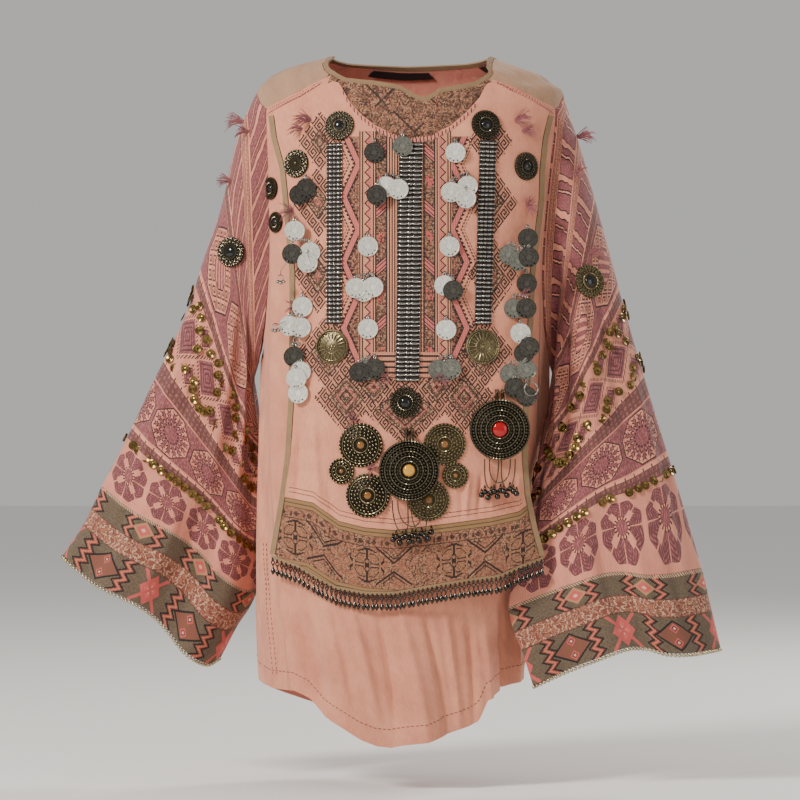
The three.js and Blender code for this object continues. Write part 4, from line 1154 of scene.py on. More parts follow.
# Concentric diamonds with combs of dark stitches, large and small in turn.
BOX_PITCH, BOX_LEVEL, BOX_BAND = 56, 312, (268, 355)
du, dv = (u + 8).every(BOX_PITCH) - BOX_PITCH / 2, v - BOX_LEVEL
box = abs(du) + abs(dv)
small = abs(abs(du) - BOX_PITCH / 2) + abs(abs(dv) - 27)
box_band = v.within(*BOX_BAND)
for diamond, edge, period in ((box, 24, 6.4), (small, 12, 5.6)):
    inside = box_band * (diamond < edge)
    colour = colour.over(satin, inside).over(DARK_SATIN, inside * (diamond.wave(period) < 0.4))
combs = box.within(26, 31).either(small.within(13.5, 16.5)) * ((du - dv * 0.3).wave(3.4) < 0.42)
colour = colour.over(DARK_THREAD, box_band * combs * (small > 13))

# Key meanders in octagons with satin corners, above.
MEANDER_PITCH, MEANDER_LEVEL, MEANDER_BAND = 92, 424, (377, 471)
du, dv = (u + 30).every(MEANDER_PITCH) - MEANDER_PITCH / 2, v - MEANDER_LEVEL
octagon = abs(du).either(abs(dv)).either((abs(du) + abs(dv)) * 0.72)
meander_band = v.within(*MEANDER_BAND)
corner = meander_band * (octagon > 42)
colour = colour.over(satin, corner).over(DARK_THREAD, meander_band * octagon.within(41.2, 43))
keys = charted(KEY, ((du + dv) / 2.6).every(8), ((du - dv) / 2.6).every(8))
ring = octagon.within(21, 39)
colour = colour.over(DARK_THREAD, meander_band * ring * keys * 0.92)
colour = colour.over(satin, meander_band * (octagon < 19) * ((du + dv).wave(13) < 0.6))
colour = colour.over(DARK_THREAD, meander_band * octagon.within(18.5, 20))

# Leaning satin patches with dark outlines below the shoulder, in rows parted by stripes and marks.
PATCH_LEVEL, PATCH_ROW, PATCH_PITCH = 489, 84, 41
patch_band = v > PATCH_LEVEL
patch_row = (v - PATCH_LEVEL).every(PATCH_ROW)
leaning = u + patch_row * 0.42 + (v - PATCH_LEVEL).stepped(PATCH_ROW) * 0.3
leaning = (leaning + noise(u, v, 40) * 12).every(PATCH_PITCH)
patch = patch_band * leaning.within(3, 34) * patch_row.within(3, 56)
outline = patch_band * patch_row.within(1.6, 57.6) * leaning.within(1.6, 35.6) * (1 - patch)
colour = colour.over(satin, patch).over(DARK_THREAD, outline)
folds = (abs(leaning - 22) < 0.8).either(abs(leaning - 25.5) < 0.8)
colour = colour.over(DARK_THREAD, patch * folds)
colour = colour.over(SLEEVE_PINK, patch * leaning.within(22.8, 24.7))
marks = patch_band * patch_row.within(60, 80)
rules = (abs(patch_row - 61) < 0.9).either(abs(patch_row - 79) < 0.9)
colour = colour.over(DARK_THREAD, marks * rules)
mark_keys = charted(KEY, (u / 1.5).every(8), (patch_row / 1.5).every(8))
colour = colour.over(DARK_THREAD, marks * mark_keys * patch_row.within(63, 77) * 0.9)

# Tiled rows between the bands, with a pale stripe and dots beside them.
TILE_ROWS = [(160, 2, 6.6), (243, 3, 7), (357, 2, 7), (472, 2, 7)]  # level, rows and size
tiled = None
for low, rows, size in TILE_ROWS:
    face, line = tiles(u, v, low, rows, size)
    colour = colour.over(satin, face).over(DARK_THREAD, line * 0.82)
    stripe = v.within(low + rows * size, low + rows * size + 3.4)
    colour = colour.over(SLEEVE_PINK, stripe).over(DARK_THREAD, stripe * (u.wave(13) < 0.12))
    tiled = face if tiled is None else tiled.either(face)
feed(colour, inputs["Base Color"])
relief = threads * 0.5 + petals * flower_band * 0.4 + tiled * 0.5
relief = relief + (box.wave(6.4) * (box < 24) * box_band) * 0.5
raised(
    relief * 0.4 + noise(u, v, 9, 4.0, 2.0) * 0.4 + noise(u, v, 30, 2.0, 2.2) * 0.8, 1.6, inputs)

CUFF_BANDS = (0, 43, 66, 95)  # distances above the hem, lowest band first
SLEEVE_STEP = 4.5  # between the rows of the sleeve's mesh
for arm in ARMS:
    rings = ARMS[arm][1]
    levels = np.concatenate([
        np.arange(CUFF_BANDS[3] + SEAM, rings[0, 0], SLEEVE_STEP),
        rings[0, 0] + np.linspace(0, 1, 14) * TOP_RUN])
    points, normals, uv = sleeve_cloth(arm, levels)
    made = cloth(f"sleeve_{arm}_cloth", points, uv, normals, embroidered_sleeve, True)
    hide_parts(f"sleeve_{arm}")


# Cuffs: three ribbons sewn round each sleeve, edge to edge. The upper and lower ones are khaki with
# woven zigzags, and the narrow one between them is a rust and cream brocade.
KHAKI, DARK_KHAKI, INK = srgb(100, 84, 66), srgb(70, 57, 45), srgb(24, 19, 18)
RUST, CORAL, CREAM = srgb(128, 66, 52), srgb(188, 82, 78), srgb(204, 168, 138)


def zigzag_ribbon(name, low, high, period, with_lens):
    material, inputs, u, v = finish_of(name, 0.9, sheen=0.1)
    height = v - low
    tall = high - low
    rep = u.stepped(0.9).every(period)
    sway = (height.stepped(0.9).wave(12.5) - 0.5) * 9
    colour = dyed(u, KHAKI).over(DARK_KHAKI, (specks(u, v, 0.9) > 0.5) * 0.6)
    mid = tall / 2
    for place in (0.28, 0.72):
        across = rep + sway * (1 if place < 0.5 else -1) - place * period
        colour = colour.over(RUST, abs(across) < 3.8)
        colour = colour.over(srgb(186, 104, 82), abs(across) < 1.6)
        colour = colour.over(INK, abs(across).within(3.8, 7.2))
    away = abs(rep - period / 2)
    if with_lens:
        lens = away * 0.8 + abs(height - mid) * 1.1
        colour = colour.over(INK, lens < 21).over(srgb(118, 70, 54), lens < 18)
        for level in (0.3, 0.7):
            dot = away + abs(height - tall * level)
            colour = colour.over(CORAL, dot < 6).over(DARK_SATIN, dot < 4).over(CREAM, dot < 2)
        edge = abs(away - period / 2)
        cross = edge + abs(height - mid) * 0.75
        colour = colour.over(CORAL, cross < 15).over(srgb(200, 96, 90), cross < 9)
        colour = colour.over(CREAM, cross < 4.4)
        arms = abs(edge - abs(height - mid) * 0.85) < 2.6
        colour = colour.over(CORAL, arms * (edge < 19))
    else:
        dot = away * 0.8 + abs(height - mid)
        colour = colour.over(srgb(170, 120, 88), dot < 11).over(CORAL, dot < 7.5)
        colour = colour.over(CREAM, dot < 2.6)
        rim = height.within(tall - 3.0, tall + 1)
        colour = colour.over(CREAM, rim * ((u + v).wave(3.2) > 0.5) * 0.8)
    feed(colour, inputs["Base Color"])
    ribs = (u + v * 0.5).wave(1.5)
    raised(ribs * 0.5 + noise(u, v, 8) * 0.5, 0.35, inputs)
    return material


brocade, inputs, u, v = finish_of("rust_brocade", 0.8, sheen=0.15)
swirl_u = u + (noise(u, v, 9, 1.0) - 0.5) * 16
swirl_v = v + (noise(v, u, 7, 1.0) - 0.5) * 16
swirl = ((swirl_u.wave(15) - 0.5) * (swirl_v.wave(11) - 0.5)) * 4
brocade_colour = dyed(u, srgb(120, 62, 46)).over(CREAM, swirl.within(-0.07, 0.11) * 0.65)
brocade_colour = brocade_colour.over(srgb(158, 98, 72), (swirl > 0.4) * 0.8)
selvedges = ((v - CUFF_BANDS[1]) < 1.1).either(v > CUFF_BANDS[2] - 1.3)
feed(brocade_colour.over(INK, selvedges * 0.7), inputs["Base Color"])
raised(swirl.within(-0.1, 0.16), 0.4, inputs)

CUFFS = [
    # name, cloth, band, the material slot and the depth in metres
    ("cuff_lower", zigzag_ribbon("zigzag_lower", 0, CUFF_BANDS[1], 132, True),
     0, "khaki_jacquard", 0.045),
    ("cuff_brocade", brocade, 1, "rust_brocade", 0.025),
    ("cuff_upper", zigzag_ribbon("zigzag_upper", CUFF_BANDS[2], CUFF_BANDS[3], 86, False),
     2, "khaki_jacquard", 0.03),
]
for arm in ARMS:
    for cuff_name, material, band, slot_name, deep in CUFFS:
        top = CUFF_BANDS[band + 1] - (SEAM if band < 2 else 0)
        levels = np.linspace(CUFF_BANDS[band], top, 3 + int(deep * 260))
        points, normals, uv = sleeve_cloth(arm, levels, 240)
        made = cloth(f"{cuff_name}_{arm}_ribbon", points, uv, normals, material, True)
        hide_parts(f"{cuff_name}_{arm}")


# Bead edging: one row of small round metal beads, threaded and sewn along the edge of each cuff
# all the way round.
def lathe(profile, sides=12, finish=0):
    """A turned shape about its own +Z, from pairs of radius and height."""
    profile = np.array(profile, float)
    turn = np.arange(sides + 1) * math.tau / sides
    around = np.stack([np.cos(turn), np.sin(turn)], -1)
    flat = around[:, None] * profile[None, :, :1]
    height = np.broadcast_to(profile[None, :, 1:], (sides + 1, len(profile), 1))
    return skin(np.concatenate([flat, height], -1)[:-1], flat, True, finish)


def bead(radius, sides=10, finish=0):
    """A ball about its own middle."""
    rows = sides // 2 + 1
    climb = np.linspace(-np.pi / 2, np.pi / 2, rows)
    profile = np.stack([np.cos(climb) * radius, np.sin(climb) * radius], -1)
    return lathe(profile, sides, finish)


def strand(path, radius, sides=6, finish=0, closed=False):
    """A round thread or wire along a path, tapered where the radius is a list."""
    path = np.asarray(path, float)
    if closed:
        along = unit(np.roll(path, -1, 0) - np.roll(path, 1, 0))
    else:
        along = unit(np.gradient(path, axis=0))
    aside = unit(np.cross(along, (0.31, 0.17, 0.93)))
    up = np.cross(along, aside)
    turn = np.arange(sides + 1) * math.tau / sides
    radius = np.broadcast_to(radius, len(path))[None, :, None]
    spokes = np.cos(turn)[:, None, None] * aside + np.sin(turn)[:, None, None] * up
    rings = path[None] + radius * spokes
    if closed:
        rings = np.concatenate([rings, rings[:, :1]], 1)
    uv = np.stack(np.broadcast_arrays(turn[:, None], np.arange(rings.shape[1])[None] * 1.0), -1)
    parts = [skin(rings[:-1], uv, True, finish)]
    if not closed:
        for end, flip in ((0, False), (-1, True)):
            cap = np.stack([rings[:-1, end], np.broadcast_to(path[end], (sides, 3))], 1)
            parts.append(skin(cap, uv[:, :2], True, finish, flip))
    return parts


def hoop(radius, wire, sides=14, finish=0):
    """A round ring lying about +Z."""
    turn = np.arange(sides) * math.tau / sides
    path = np.stack([radius * np.cos(turn), radius * np.sin(turn), 0 * turn], -1)
    return strand(path, wire, 6, finish, True)[0]


def faced(part, place, outward, spin=0.0):
    """A part turned so that its +Z points outward and its +Y as far up as it can, and moved."""
    outward = np.asarray(outward, float) / np.linalg.norm(outward)
    across = np.cross((0, 0, 1), outward)
    wide = np.linalg.norm(across)
    across = across / wide if wide > 0.01 else np.array([1.0, 0, 0])
    up = np.cross(outward, across)
    side = across * math.cos(spin) + up * math.sin(spin)
    rise = up * math.cos(spin) - across * math.sin(spin)
    points, faces, corners, finish = part
    points = points @ np.stack([side, rise, outward]) + np.asarray(place, float)
    return points, faces, corners, finish


def metal(name, bright, dull, roughness, coat=0.0):
    """Metal with its bright colour worn through a duller one."""
    material, inputs, u, v = finish_of(name, roughness, 1.0, coat=coat)
    place = u.node("ShaderNodeTexCoord", output=3)
    worn = u.node("ShaderNodeTexNoise", inputs={"Vector": place, "Scale": 520.0, "Detail": 3.0})
    wear = worn * 1.5 - 0.25
    feed(dyed(u, dull).over(bright, wear), inputs["Base Color"])
    feed(roughness + 0.25 - worn * 0.5, inputs["Roughness"])
    return material


bead_metal = metal("bead_metal", srgb(214, 202, 168), srgb(120, 108, 78), 0.3)
BEAD_RADIUS, BEAD_PITCH = 2.35, 4.9
for arm in ARMS:
    way = np.linspace(0, 360, 721)
    edge = sleeve(arm, way, 0)
    run = lengths(edge, 0)
    spots = np.interp(np.arange(0, run[-1] - BEAD_PITCH / 2, BEAD_PITCH), run, way)
    edge, higher = sleeve(arm, spots, 0), sleeve(arm, spots, 6)
    centres = edge + unit(edge - higher) * BEAD_RADIUS
    beads = [faced(bead(BEAD_RADIUS), centre, (0, -1, 0)) for centre in centres]
    edging = piece(f"bead_edging_{arm}", beads, [bead_metal])


# Sequins: stamped brass cups with a hole, sewn on the sleeves in a line under the tiles and in arcs
# above and below the big diamonds.
sequin_brass = metal("sequin_brass", srgb(150, 124, 72), srgb(56, 42, 22), 0.26)
# Radius and height, from the hole over the rim and back below.
SEQUIN = [
    (1.0, 1.0), (2.2, 0.5), (4.9, 1.5), (5.5, 1.3), (5.3, 0.8), (2.2, 0.0), (0.9, 0.5), (1.0, 1.0)]
LINE_LEVEL, LINE_PITCH, LINE_KEPT, ARC_KEPT = 158.0, 11.4, 0.86, 0.85
# Places round a big diamond, from its middle.
SEQUIN_ARC = [(-23, 31), (-12, 37), (0, 40), (12, 37), (-8, 27.5), (16, 24), (-17, -24), (-14, -32),
              (-6, -38), (5, -39), (14, -35), (20, -26), (24, 6)]


def run_round(arm, above):
    """The distance run round a sleeve to each whole degree."""
    return lengths(sleeve(arm, np.linspace(0, 360, 361), above), 0)


def way_at(arm, u, above):
    """The direction round a sleeve that lies a distance from its front."""
    run = run_round(arm, above)
    return np.interp(-ARMS[arm][0] * u + run[90], run, np.linspace(0, 360, 361))


for arm in ARMS:
    random = np.random.default_rng(7 if arm == "left" else 11)
    loop = run_round(arm, LINE_LEVEL)[-1]
    line = np.arange(-loop * 0.4, loop * 0.55, LINE_PITCH)
    places = [(u, LINE_LEVEL + 0.5) for u in line if random.random() < LINE_KEPT]
    loop = run_round(arm, BOX_LEVEL)[-1]
    middles = np.arange(-5, 5) * BOX_PITCH - 8 + BOX_PITCH / 2
    for middle in middles[np.abs(middles) < loop / 2]:
        arc = [offset for offset in SEQUIN_ARC if random.random() < ARC_KEPT]
        places += [(middle + du, BOX_LEVEL + dv) for du, dv in arc]
    cups = []
    for u, above in places:
        way = way_at(arm, u + random.uniform(-1, 1), above + random.uniform(-1, 1))
        outward = sleeve_normal(arm, way, above)
        lean = outward + random.uniform(-0.22, 0.22, 3)
        seat = sleeve(arm, way, above) + outward * (CLOTH / 2 + 1.1)
        cups.append(faced(lathe(SEQUIN, 12), seat, lean))
    sequins = piece(f"sequins_{arm}", cups, [sequin_brass])


# Strips of bars: turned metal spindles, set side by side on a ribbon in three columns and sewn
# down the chest at both their ends. The ribbon's near black is painted shade between the bars.
BAR_STRIPS = [
    # top x, foot x, top, foot, width, bars
    (-84, -84, -79, -289, 20, 41),
    (4.6, 0, -79, -356, 29, 54),
    (94, 87.5, -76, -290, 21, 42),
]
BAR_SEAT = CLOTH / 2 + SEAM + 0.7  # from the apron's middle to the back of a strip
BAR_RADIUS, RIBBON_THICK = 1.55, 0.7
dark_silver = metal("dark_silver", srgb(200, 196, 188), srgb(62, 58, 54), 0.2)


def plain(name, colour, roughness=0.9, sheen=0.0):
    """A finish of one even colour."""
    material, inputs, _, _ = finish_of(name, roughness, sheen=sheen)
    inputs["Base Color"].default_value = colour
    return material


# Near black as painted shade: it stands for the shade that falls between the bars.
painted_shade_ribbon = plain("painted_shade_ribbon", srgb(44, 34, 32))


def strip_middle(strip, z):
    """The X of a strip's middle at a height."""
    top_x, foot_x, top, foot, *_ = strip
    return top_x + (foot_x - top_x) * (top - z) / (top - foot)


for number, strip in enumerate(BAR_STRIPS, 1):
    top_x, foot_x, top, foot, width, bars = strip
    half = width / 2
    spindle = [
        (0.05, -half), (1.1, -half + 0.4), (1.3, -half + 1.3), (0.7, -half + 2.4),
        (1.5, -half + 3.4), (1.75, -half * 0.55), (1.5, -half * 0.28), (0.8, -half * 0.2),
        (1.7, -half * 0.1), (1.95, 0)]
    spindle += [(radius, -at) for radius, at in reversed(spindle[:-1])]
    random = np.random.default_rng(number)
    parts = []
    for z in np.linspace(top, foot, bars * 2 + 1)[1::2]:
        middle = strip_middle(strip, z)
        ends = apron_point(np.array([middle - half, middle + half]), z)
        bulge = abs(apron_y(middle, z) - ends[:, 1].mean())
        centre = ends.mean(0) - (0, BAR_SEAT + BAR_RADIUS + bulge * 0.5, 0)
        centre[2] += random.uniform(-0.3, 0.3)
        lean = ends[1] - ends[0] + (0, 0, random.uniform(-0.5, 0.5))
        parts.append(faced(lathe(spindle, 10), centre, lean))
    heights = np.linspace(top, foot, 60)
    spots = strip_middle(strip, heights) + np.linspace(-half + 1, half - 1, 7)[:, None]
    ribbon = apron_point(spots, np.broadcast_to(heights, spots.shape)) - (0, BAR_SEAT - 0.1, 0)
    parts += [(*part[:3], 1) for part in wall(ribbon, RIBBON_THICK, unrolled(ribbon))]
    bar_strip = piece(f"bars_{number}", parts, [dark_silver, painted_shade_ribbon])
    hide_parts(f"bar_strip_{number}")


# Filigree bosses and discs: cast in one, with rims and rows of grains, wire loops and a raised
# middle, and sewn to the apron through their open work.
# Each grain finish is a lighter copy of a plate metal, put on the grains, loops, ropes, wires and
# bails as painted highlight.
bronze = metal("bronze", srgb(60, 54, 44), srgb(18, 16, 13), 0.45)
bronze_grain_painted_highlight = metal("bronze_grain_painted_highlight", srgb(122, 114, 95), srgb(50, 44, 34), 0.28)
old_brass = metal("old_brass", srgb(92, 80, 58), srgb(40, 34, 24), 0.42)
brass_grain_painted_highlight = metal("brass_grain_painted_highlight", srgb(168, 154, 120), srgb(88, 77, 56), 0.3)


def stone(name, colour, glow=0.0):
    """A smooth set stone, with a faint painted glow that stands in for the light shining through
    it.
    """
    material, inputs, u, v = finish_of(name, 0.08, coat=0.3)
    inputs["Base Color"].default_value = colour
    inputs["Specular IOR Level"].default_value = 0.4
    inputs["Emission Color"].default_value = colour
    inputs["Emission Strength"].default_value = glow
    return material


black_stone = stone("black_stone", srgb(8, 8, 9))
red_stone = stone("red_stone", srgb(150, 0, 4), 0.04)
citrine = stone("citrine", srgb(190, 140, 52), 0.06)
amber = stone("amber", srgb(126, 80, 30), 0.03)
embossed_brass = metal("embossed_brass", srgb(122, 110, 82), srgb(66, 58, 42), 0.42)
boss_finishes = [bronze, bronze_grain_painted_highlight, black_stone]
brass_finishes = [old_brass, brass_grain_painted_highlight, amber]


def rosette(radius, rows, dome, thick=2.4):
    """A dished round plate with rows of work on it. Each row has its kind, share of the radius,
    number, size and height; the dome has its share of the radius and height, and is the third
    finish."""
    parts = [lathe([
        (0.02, 0), (radius, 0), (radius, thick * 0.3), (radius * 0.97, thick * 0.55),
        (radius * 0.5, thick * 0.6), (radius * 0.44, thick * 1.1), (0.02, thick * 1.1)], 48)]
    for kind, share, count, size, height in rows:
        turn = np.arange(count) * math.tau / count
        spots = np.stack([
            np.cos(turn) * share * radius, np.sin(turn) * share * radius, 0 * turn + height], -1)
        if kind == "grain":
            parts += [faced(bead(size, 8, 1), spot, (0, 0.01, 1)) for spot in spots]
        elif kind == "loop":
            parts += [faced(hoop(size, 0.42, 10, 1), spot, (0, 0.01, 1)) for spot in spots]
        elif kind == "spoke":
            for spot, near in zip(spots, spots * (0.5, 0.5, 1)):
                parts += strand([near, (spot + near) / 2 + (0, 0, size), spot], size, 5, 1)
        else:  # a rope: wire that rises and falls round the row
            wave = np.arange(count * 4) * math.tau / (count * 4)
            path = np.stack([
                np.cos(wave) * share * radius, np.sin(wave) * share * radius,
                height + size * 0.45 * np.cos(wave * count)], -1)
            parts += strand(path, size, 6, 1, True)
    share, rise = dome
    climb = np.linspace(0, np.pi / 2, 8)
    cap = np.stack([np.cos(climb) * share * radius, thick + np.sin(climb) * rise], -1)
    return parts + [lathe([(share * radius, 0), *cap], 28, 2)]


DARK_ROWS = [
    ("grain", 0.94, 30, 1.2, 1.9), ("loop", 0.79, 16, 2.0, 1.9), ("grain", 0.79, 16, 0.8, 2.2),
    ("grain", 0.62, 20, 1.0, 2.2), ("rope", 0.49, 20, 0.8, 2.9),
]
APRON_BOSSES = [
    # x, z, radius
    (-78, -59, 17.4), (-128, -102, 16.5), (91, -58, 17.4), (138, -105, 16.5), (-2, -380, 17.6),
]
BOSS_SEAT = CLOTH / 2 + SEAM + 0.25


def sewn_on_apron(parts, x, z, radius, lift=0.0, spin=0.0):
    """Parts laid flat on the apron, by how it lies under all of their radius."""
    outward = apron_normal(x, z, radius)
    place = apron_point(x, z) + outward * (BOSS_SEAT + lift)
    return [faced(part, place, outward, spin) for part in parts]


for number, (x, z, radius) in enumerate(APRON_BOSSES, 1):
    dome = (0.33, 2.6) if number != 2 else (0.2, 2.2)
    parts = sewn_on_apron(rosette(radius, DARK_ROWS, dome), x, z, radius, spin=number * 0.4)
    finishes = boss_finishes if number != 2 else [bronze, bronze_grain_painted_highlight, old_brass]
    boss = piece(f"filigree_boss_{number}", parts, finishes)
    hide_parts(f"apron_boss_{number}")

# Brass discs: two flat ones, stamped from sheet with a flower of ribs inside a ring, and sewn to
# the apron at the foot of the outer strips of bars.
EMBOSSED_ROWS = [
    ("rope", 0.93, 44, 0.7, 1.6), ("spoke", 0.8, 20, 0.62, 1.3), ("rope", 0.82, 30, 0.45, 1.6),
    ("grain", 0.18, 7, 0.9, 1.9), ("rope", 0.4, 14, 0.4, 1.7),
]
BRASS_DISCS = [(-86, -315.5, 19.7), (87, -315.5, 20.6)]
for number, (x, z, radius) in enumerate(BRASS_DISCS, 1):
    parts = sewn_on_apron(rosette(radius, EMBOSSED_ROWS, (0.1, 1.0), 1.3), x, z, radius)
    disc = piece(f"embossed_disc_{number}", parts, [embossed_brass, brass_grain_painted_highlight, brass_grain_painted_highlight])
    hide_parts(f"brass_disc_{number}")

# Low discs: cast open work of grains round a cup, with a small one fused to the rim of two of them.
OPEN_ROWS = [
    ("grain", 0.95, 34, 1.3, 1.4), ("rope", 0.84, 30, 0.6, 1.7), ("grain", 0.73, 26, 1.25, 1.9),
    ("grain", 0.58, 20, 1.25, 2.1), ("grain", 0.45, 15, 1.2, 2.2), ("rope", 0.34, 16, 0.9, 2.6),
]
SMALL_ROWS = [
    ("grain", 0.92, 22, 1.2, 1.5), ("rope", 0.72, 18, 0.6, 1.9), ("grain", 0.58, 13, 1.1, 2.0),
    ("rope", 0.42, 12, 0.8, 2.4),
]
LOW_DISCS = {
    # x, z, radius, lift
    1: [(-53, -429, 25.5, 0), (-75, -459, 15, 0.8)],
    2: [(43, -428, 24.4, 0), (55.5, -464, 15, 0.8)],
    3: [(-45, -487, 25.5, 0)],
    4: [(24.4, -492, 24.4, 0)],
}
for number, discs in LOW_DISCS.items():
    parts = []
    for x, z, radius, lift in discs:
        rows = OPEN_ROWS if radius > 20 else SMALL_ROWS
        cast = rosette(radius, rows, (0.17, 1.6), 1.8)
        parts += sewn_on_apron(cast, x, z, radius, lift, number * 0.3)
    finishes = brass_finishes if number in (2, 4) else [bronze, brass_grain_painted_highlight, amber]
    disc = piece(f"open_disc_{number}", parts, finishes)
    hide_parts(f"low_disc_{number}")

# Side bosses: two small dark ones on the side of the front, seen nearly edge-on. They are cast in
# bronze like the others, and sewn to the pink cotton through their open work.
SIDE_BOSSES = [(-158, -129, 13), (-152, -169, 12)]
for number, (x, z, radius) in enumerate(SIDE_BOSSES, 1):
    angles = np.linspace(-86, -50, 200)
    angle = np.interp(x, body(angles, float(z))[:, 0], angles)
    outward = body_normal(np.array(angle), np.array(float(z)))
    place = body(np.array(angle), np.array(float(z))) + outward * (CLOTH / 2 + 0.3)
    parts = [faced(part, place, outward) for part in rosette(radius, DARK_ROWS, (0.33, 2.0))]
    boss = piece(f"side_boss_{number}", parts, boss_finishes)

# Sleeve bosses: a dark one on the right sleeve and a brass one with a dark middle on the left, each
# cast in one and sewn near the armhole through its open work.
SLEEVE_BOSSES = [("right", 62, 470, 17.5), ("left", 62, 450, 19.7)]
for number, (arm, way, above, radius) in enumerate(SLEEVE_BOSSES, 1):
    outward = sleeve_normal(arm, way, float(above))
    place = sleeve(arm, way, above) + outward * (CLOTH / 2 + SEAM + 0.5)
    parts = [faced(part, place, outward) for part in rosette(radius, DARK_ROWS, (0.34, 2.4))]
    finishes = boss_finishes if arm == "right" else [old_brass, brass_grain_painted_highlight, black_stone]
    boss = piece(f"filigree_sleeve_boss_{number}", parts, finishes)
    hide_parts(f"sleeve_boss_{number}")


# Coin drops: thin struck coins with a raised rim, each on a small ring, some of them linked below
# another. A drop hangs from one ring sewn to the apron, and swings on it.
COIN_RADIUS, COIN_THICK, COIN_GAP, COIN_RING, COIN_WIRE = 11.8, 1.2, 0.5, 4, 1.1
# The grey and dark tones are partly darker metal and partly painted shade, for coins on the side
# turned from the key lamp.
BRIGHT, GREY, DARK, SILVER = 0, 1, 2, 3  # tones of the coins, and their rings
COINS = {
    # x, z, layer away from the cloth, tone (grey and dark partly painted shade)
    1: [(-5, -84, 0, GREY)],
    2: [(-38, -91, 0, DARK)],
    3: [(-24, -131, 0, BRIGHT), (-10, -134, 1, BRIGHT), (-35, -141, 2, DARK)],
    4: [(-45, -200, 0, BRIGHT)],
    5: [(-59, -248, 1, BRIGHT), (-50, -252, 0, BRIGHT), (-39, -247, 1, BRIGHT)],
    6: [(-45, -295, 0, BRIGHT)],
    7: [(-55, -345, 1, DARK), (-45, -342, 0, GREY), (-37, -341, 1, DARK)],
    8: [(56, -91, 0, BRIGHT)],
    9: [(51, -137, 0, BRIGHT), (70, -130, 0, BRIGHT), (68, -144, 1, BRIGHT)],
    10: [(49, -200, 0, BRIGHT)],
    11: [(43, -245, 0, BRIGHT), (53, -251, 1, DARK)],
    12: [(45, -296, 0, BRIGHT)],
    13: [(36, -342, 1, GREY), (44, -345, 0, GREY), (51, -341, 1, GREY)],
    14: [(-125, -139, 0, DARK), (-117, -132, 1, DARK)],
    15: [(-130, -181, 0, BRIGHT), (-133, -208, 0, DARK), (-112, -206, 0, BRIGHT),
         (-115, -218, 1, BRIGHT)],
    16: [(-121, -269, 0, BRIGHT), (-136, -291, 0, BRIGHT), (-123, -293, 1, BRIGHT)],
    17: [(-131, -327, 0, DARK), (-123, -344, 1, BRIGHT), (-128, -352, 2, BRIGHT),
         (-126, -369, 1, BRIGHT)],
    18: [(140, -190, 0, DARK), (118, -209, 0, GREY), (129, -216, 1, GREY), (141, -212, 2, DARK)],
    19: [(139, -242, 0, DARK)],
    20: [(124, -271, 0, GREY), (138, -271, 1, DARK)],
    21: [(131, -300, 0, BRIGHT), (135, -323, 1, DARK), (141, -316, 2, DARK), (119, -347, 0, GREY),
         (138, -342, 1, GREY), (124, -363, 1, DARK), (138, -373, 2, DARK)],
}
# Rings of small bells that hang from wires on two of the drops: each ring's X and Z, and then its
# wire's.
DROP_BELLS = {
    15: [(-146, -240, -138, -216)],
    16: [(-152, -296, -140, -286), (-128, -312, -124, -302)],
}
BIG_RING_DROP, BIG_RING_X, BIG_RING_Z = 21, 143, -364
STRIP_RISE, BOSS_RISE, RIM_RISE = 4.1, 6, 3.7  # how far a strip, a boss and its rim stand out
COIN_HOLES = ((-4.4, -8.2), (0, -9.4), (4.4, -8.2))


def struck_coin(name, bright, dull, roughness):
    """Metal struck with a ring of dots, one of strokes and a plain star, the same on each coin."""
    material, inputs, u, v = finish_of(name, roughness, 1.0)
    away, turn = polar(u, v)
    dots = away.within(8.6, 10) * ((turn * 34).every(1) < 0.5)
    strokes = away.within(5.4, 7.6) * ((turn * 22 + away * 0.25).every(1) < 0.42)
    star = away < (1.8 + abs((turn * 8).every(1) - 0.5) * 5)
    relief = dots.either(strokes).either(star)
    scratches = noise(u, v, 3, 4.0)
    hole = None
    for hole_u, hole_v in COIN_HOLES:
        place = polar(u - hole_u, v - hole_v)[0] < 0.85
        hole = place if hole is None else hole.either(place)
    struck = dyed(u, bright).over(dull, (1 - relief) * 0.45 + (scratches - 0.5) * 1.3)
    feed(struck.over(srgb(22, 18, 16), hole), inputs["Base Color"])
    raised(relief * 0.7 + scratches * 0.3 - hole, 0.45, inputs)
    return material


# One coin metal in three brightnesses: the grey and dark ones are partly painted shade.
bright_coin = struck_coin("bright_coin", srgb(252, 250, 242), srgb(186, 180, 166), 0.46)
grey_coin_metal_and_shade = struck_coin("grey_coin_metal_and_shade", srgb(150, 150, 140), srgb(78, 78, 70), 0.38)
dark_coin_metal_and_shade = struck_coin("dark_coin_metal_and_shade", srgb(104, 101, 94), srgb(42, 41, 37), 0.34)
coin_finishes = [bright_coin, grey_coin_metal_and_shade, dark_coin_metal_and_shade, dark_silver]
COIN_PROFILE = [(0.02, -0.25), (10.4, -0.25), (10.8, -0.6), (11.5, -0.6), (11.8, -0.3), (11.8, 0.3),
                (11.5, 0.6), (10.8, 0.6), (10.4, 0.25), (0.02, 0.25)]


def foremost(x, z):
    """The foremost fixed surface at a place: the apron, its bindings, a bar strip or a boss."""
    cloth = float(apron_y(x, z)) - CLOTH / 2
    front = cloth - (BINDING_CLOTH - CLOTH) / 2 if x < -128 or x > 131 else cloth
    for strip in BAR_STRIPS:
        _, _, top, foot, width, _ = strip
        beside = abs(x - strip_middle(strip, z)) < width / 2 + 1
        if beside and foot - 1 < z < top + 1:
            front = min(front, cloth - STRIP_RISE)
    for disc_x, disc_z, radius in APRON_BOSSES + BRASS_DISCS:
        away = math.hypot(x - disc_x, z - disc_z)
        if away < radius + 1:
            front = min(front, cloth - (BOSS_RISE if away < radius * 0.6 else RIM_RISE))
    return front


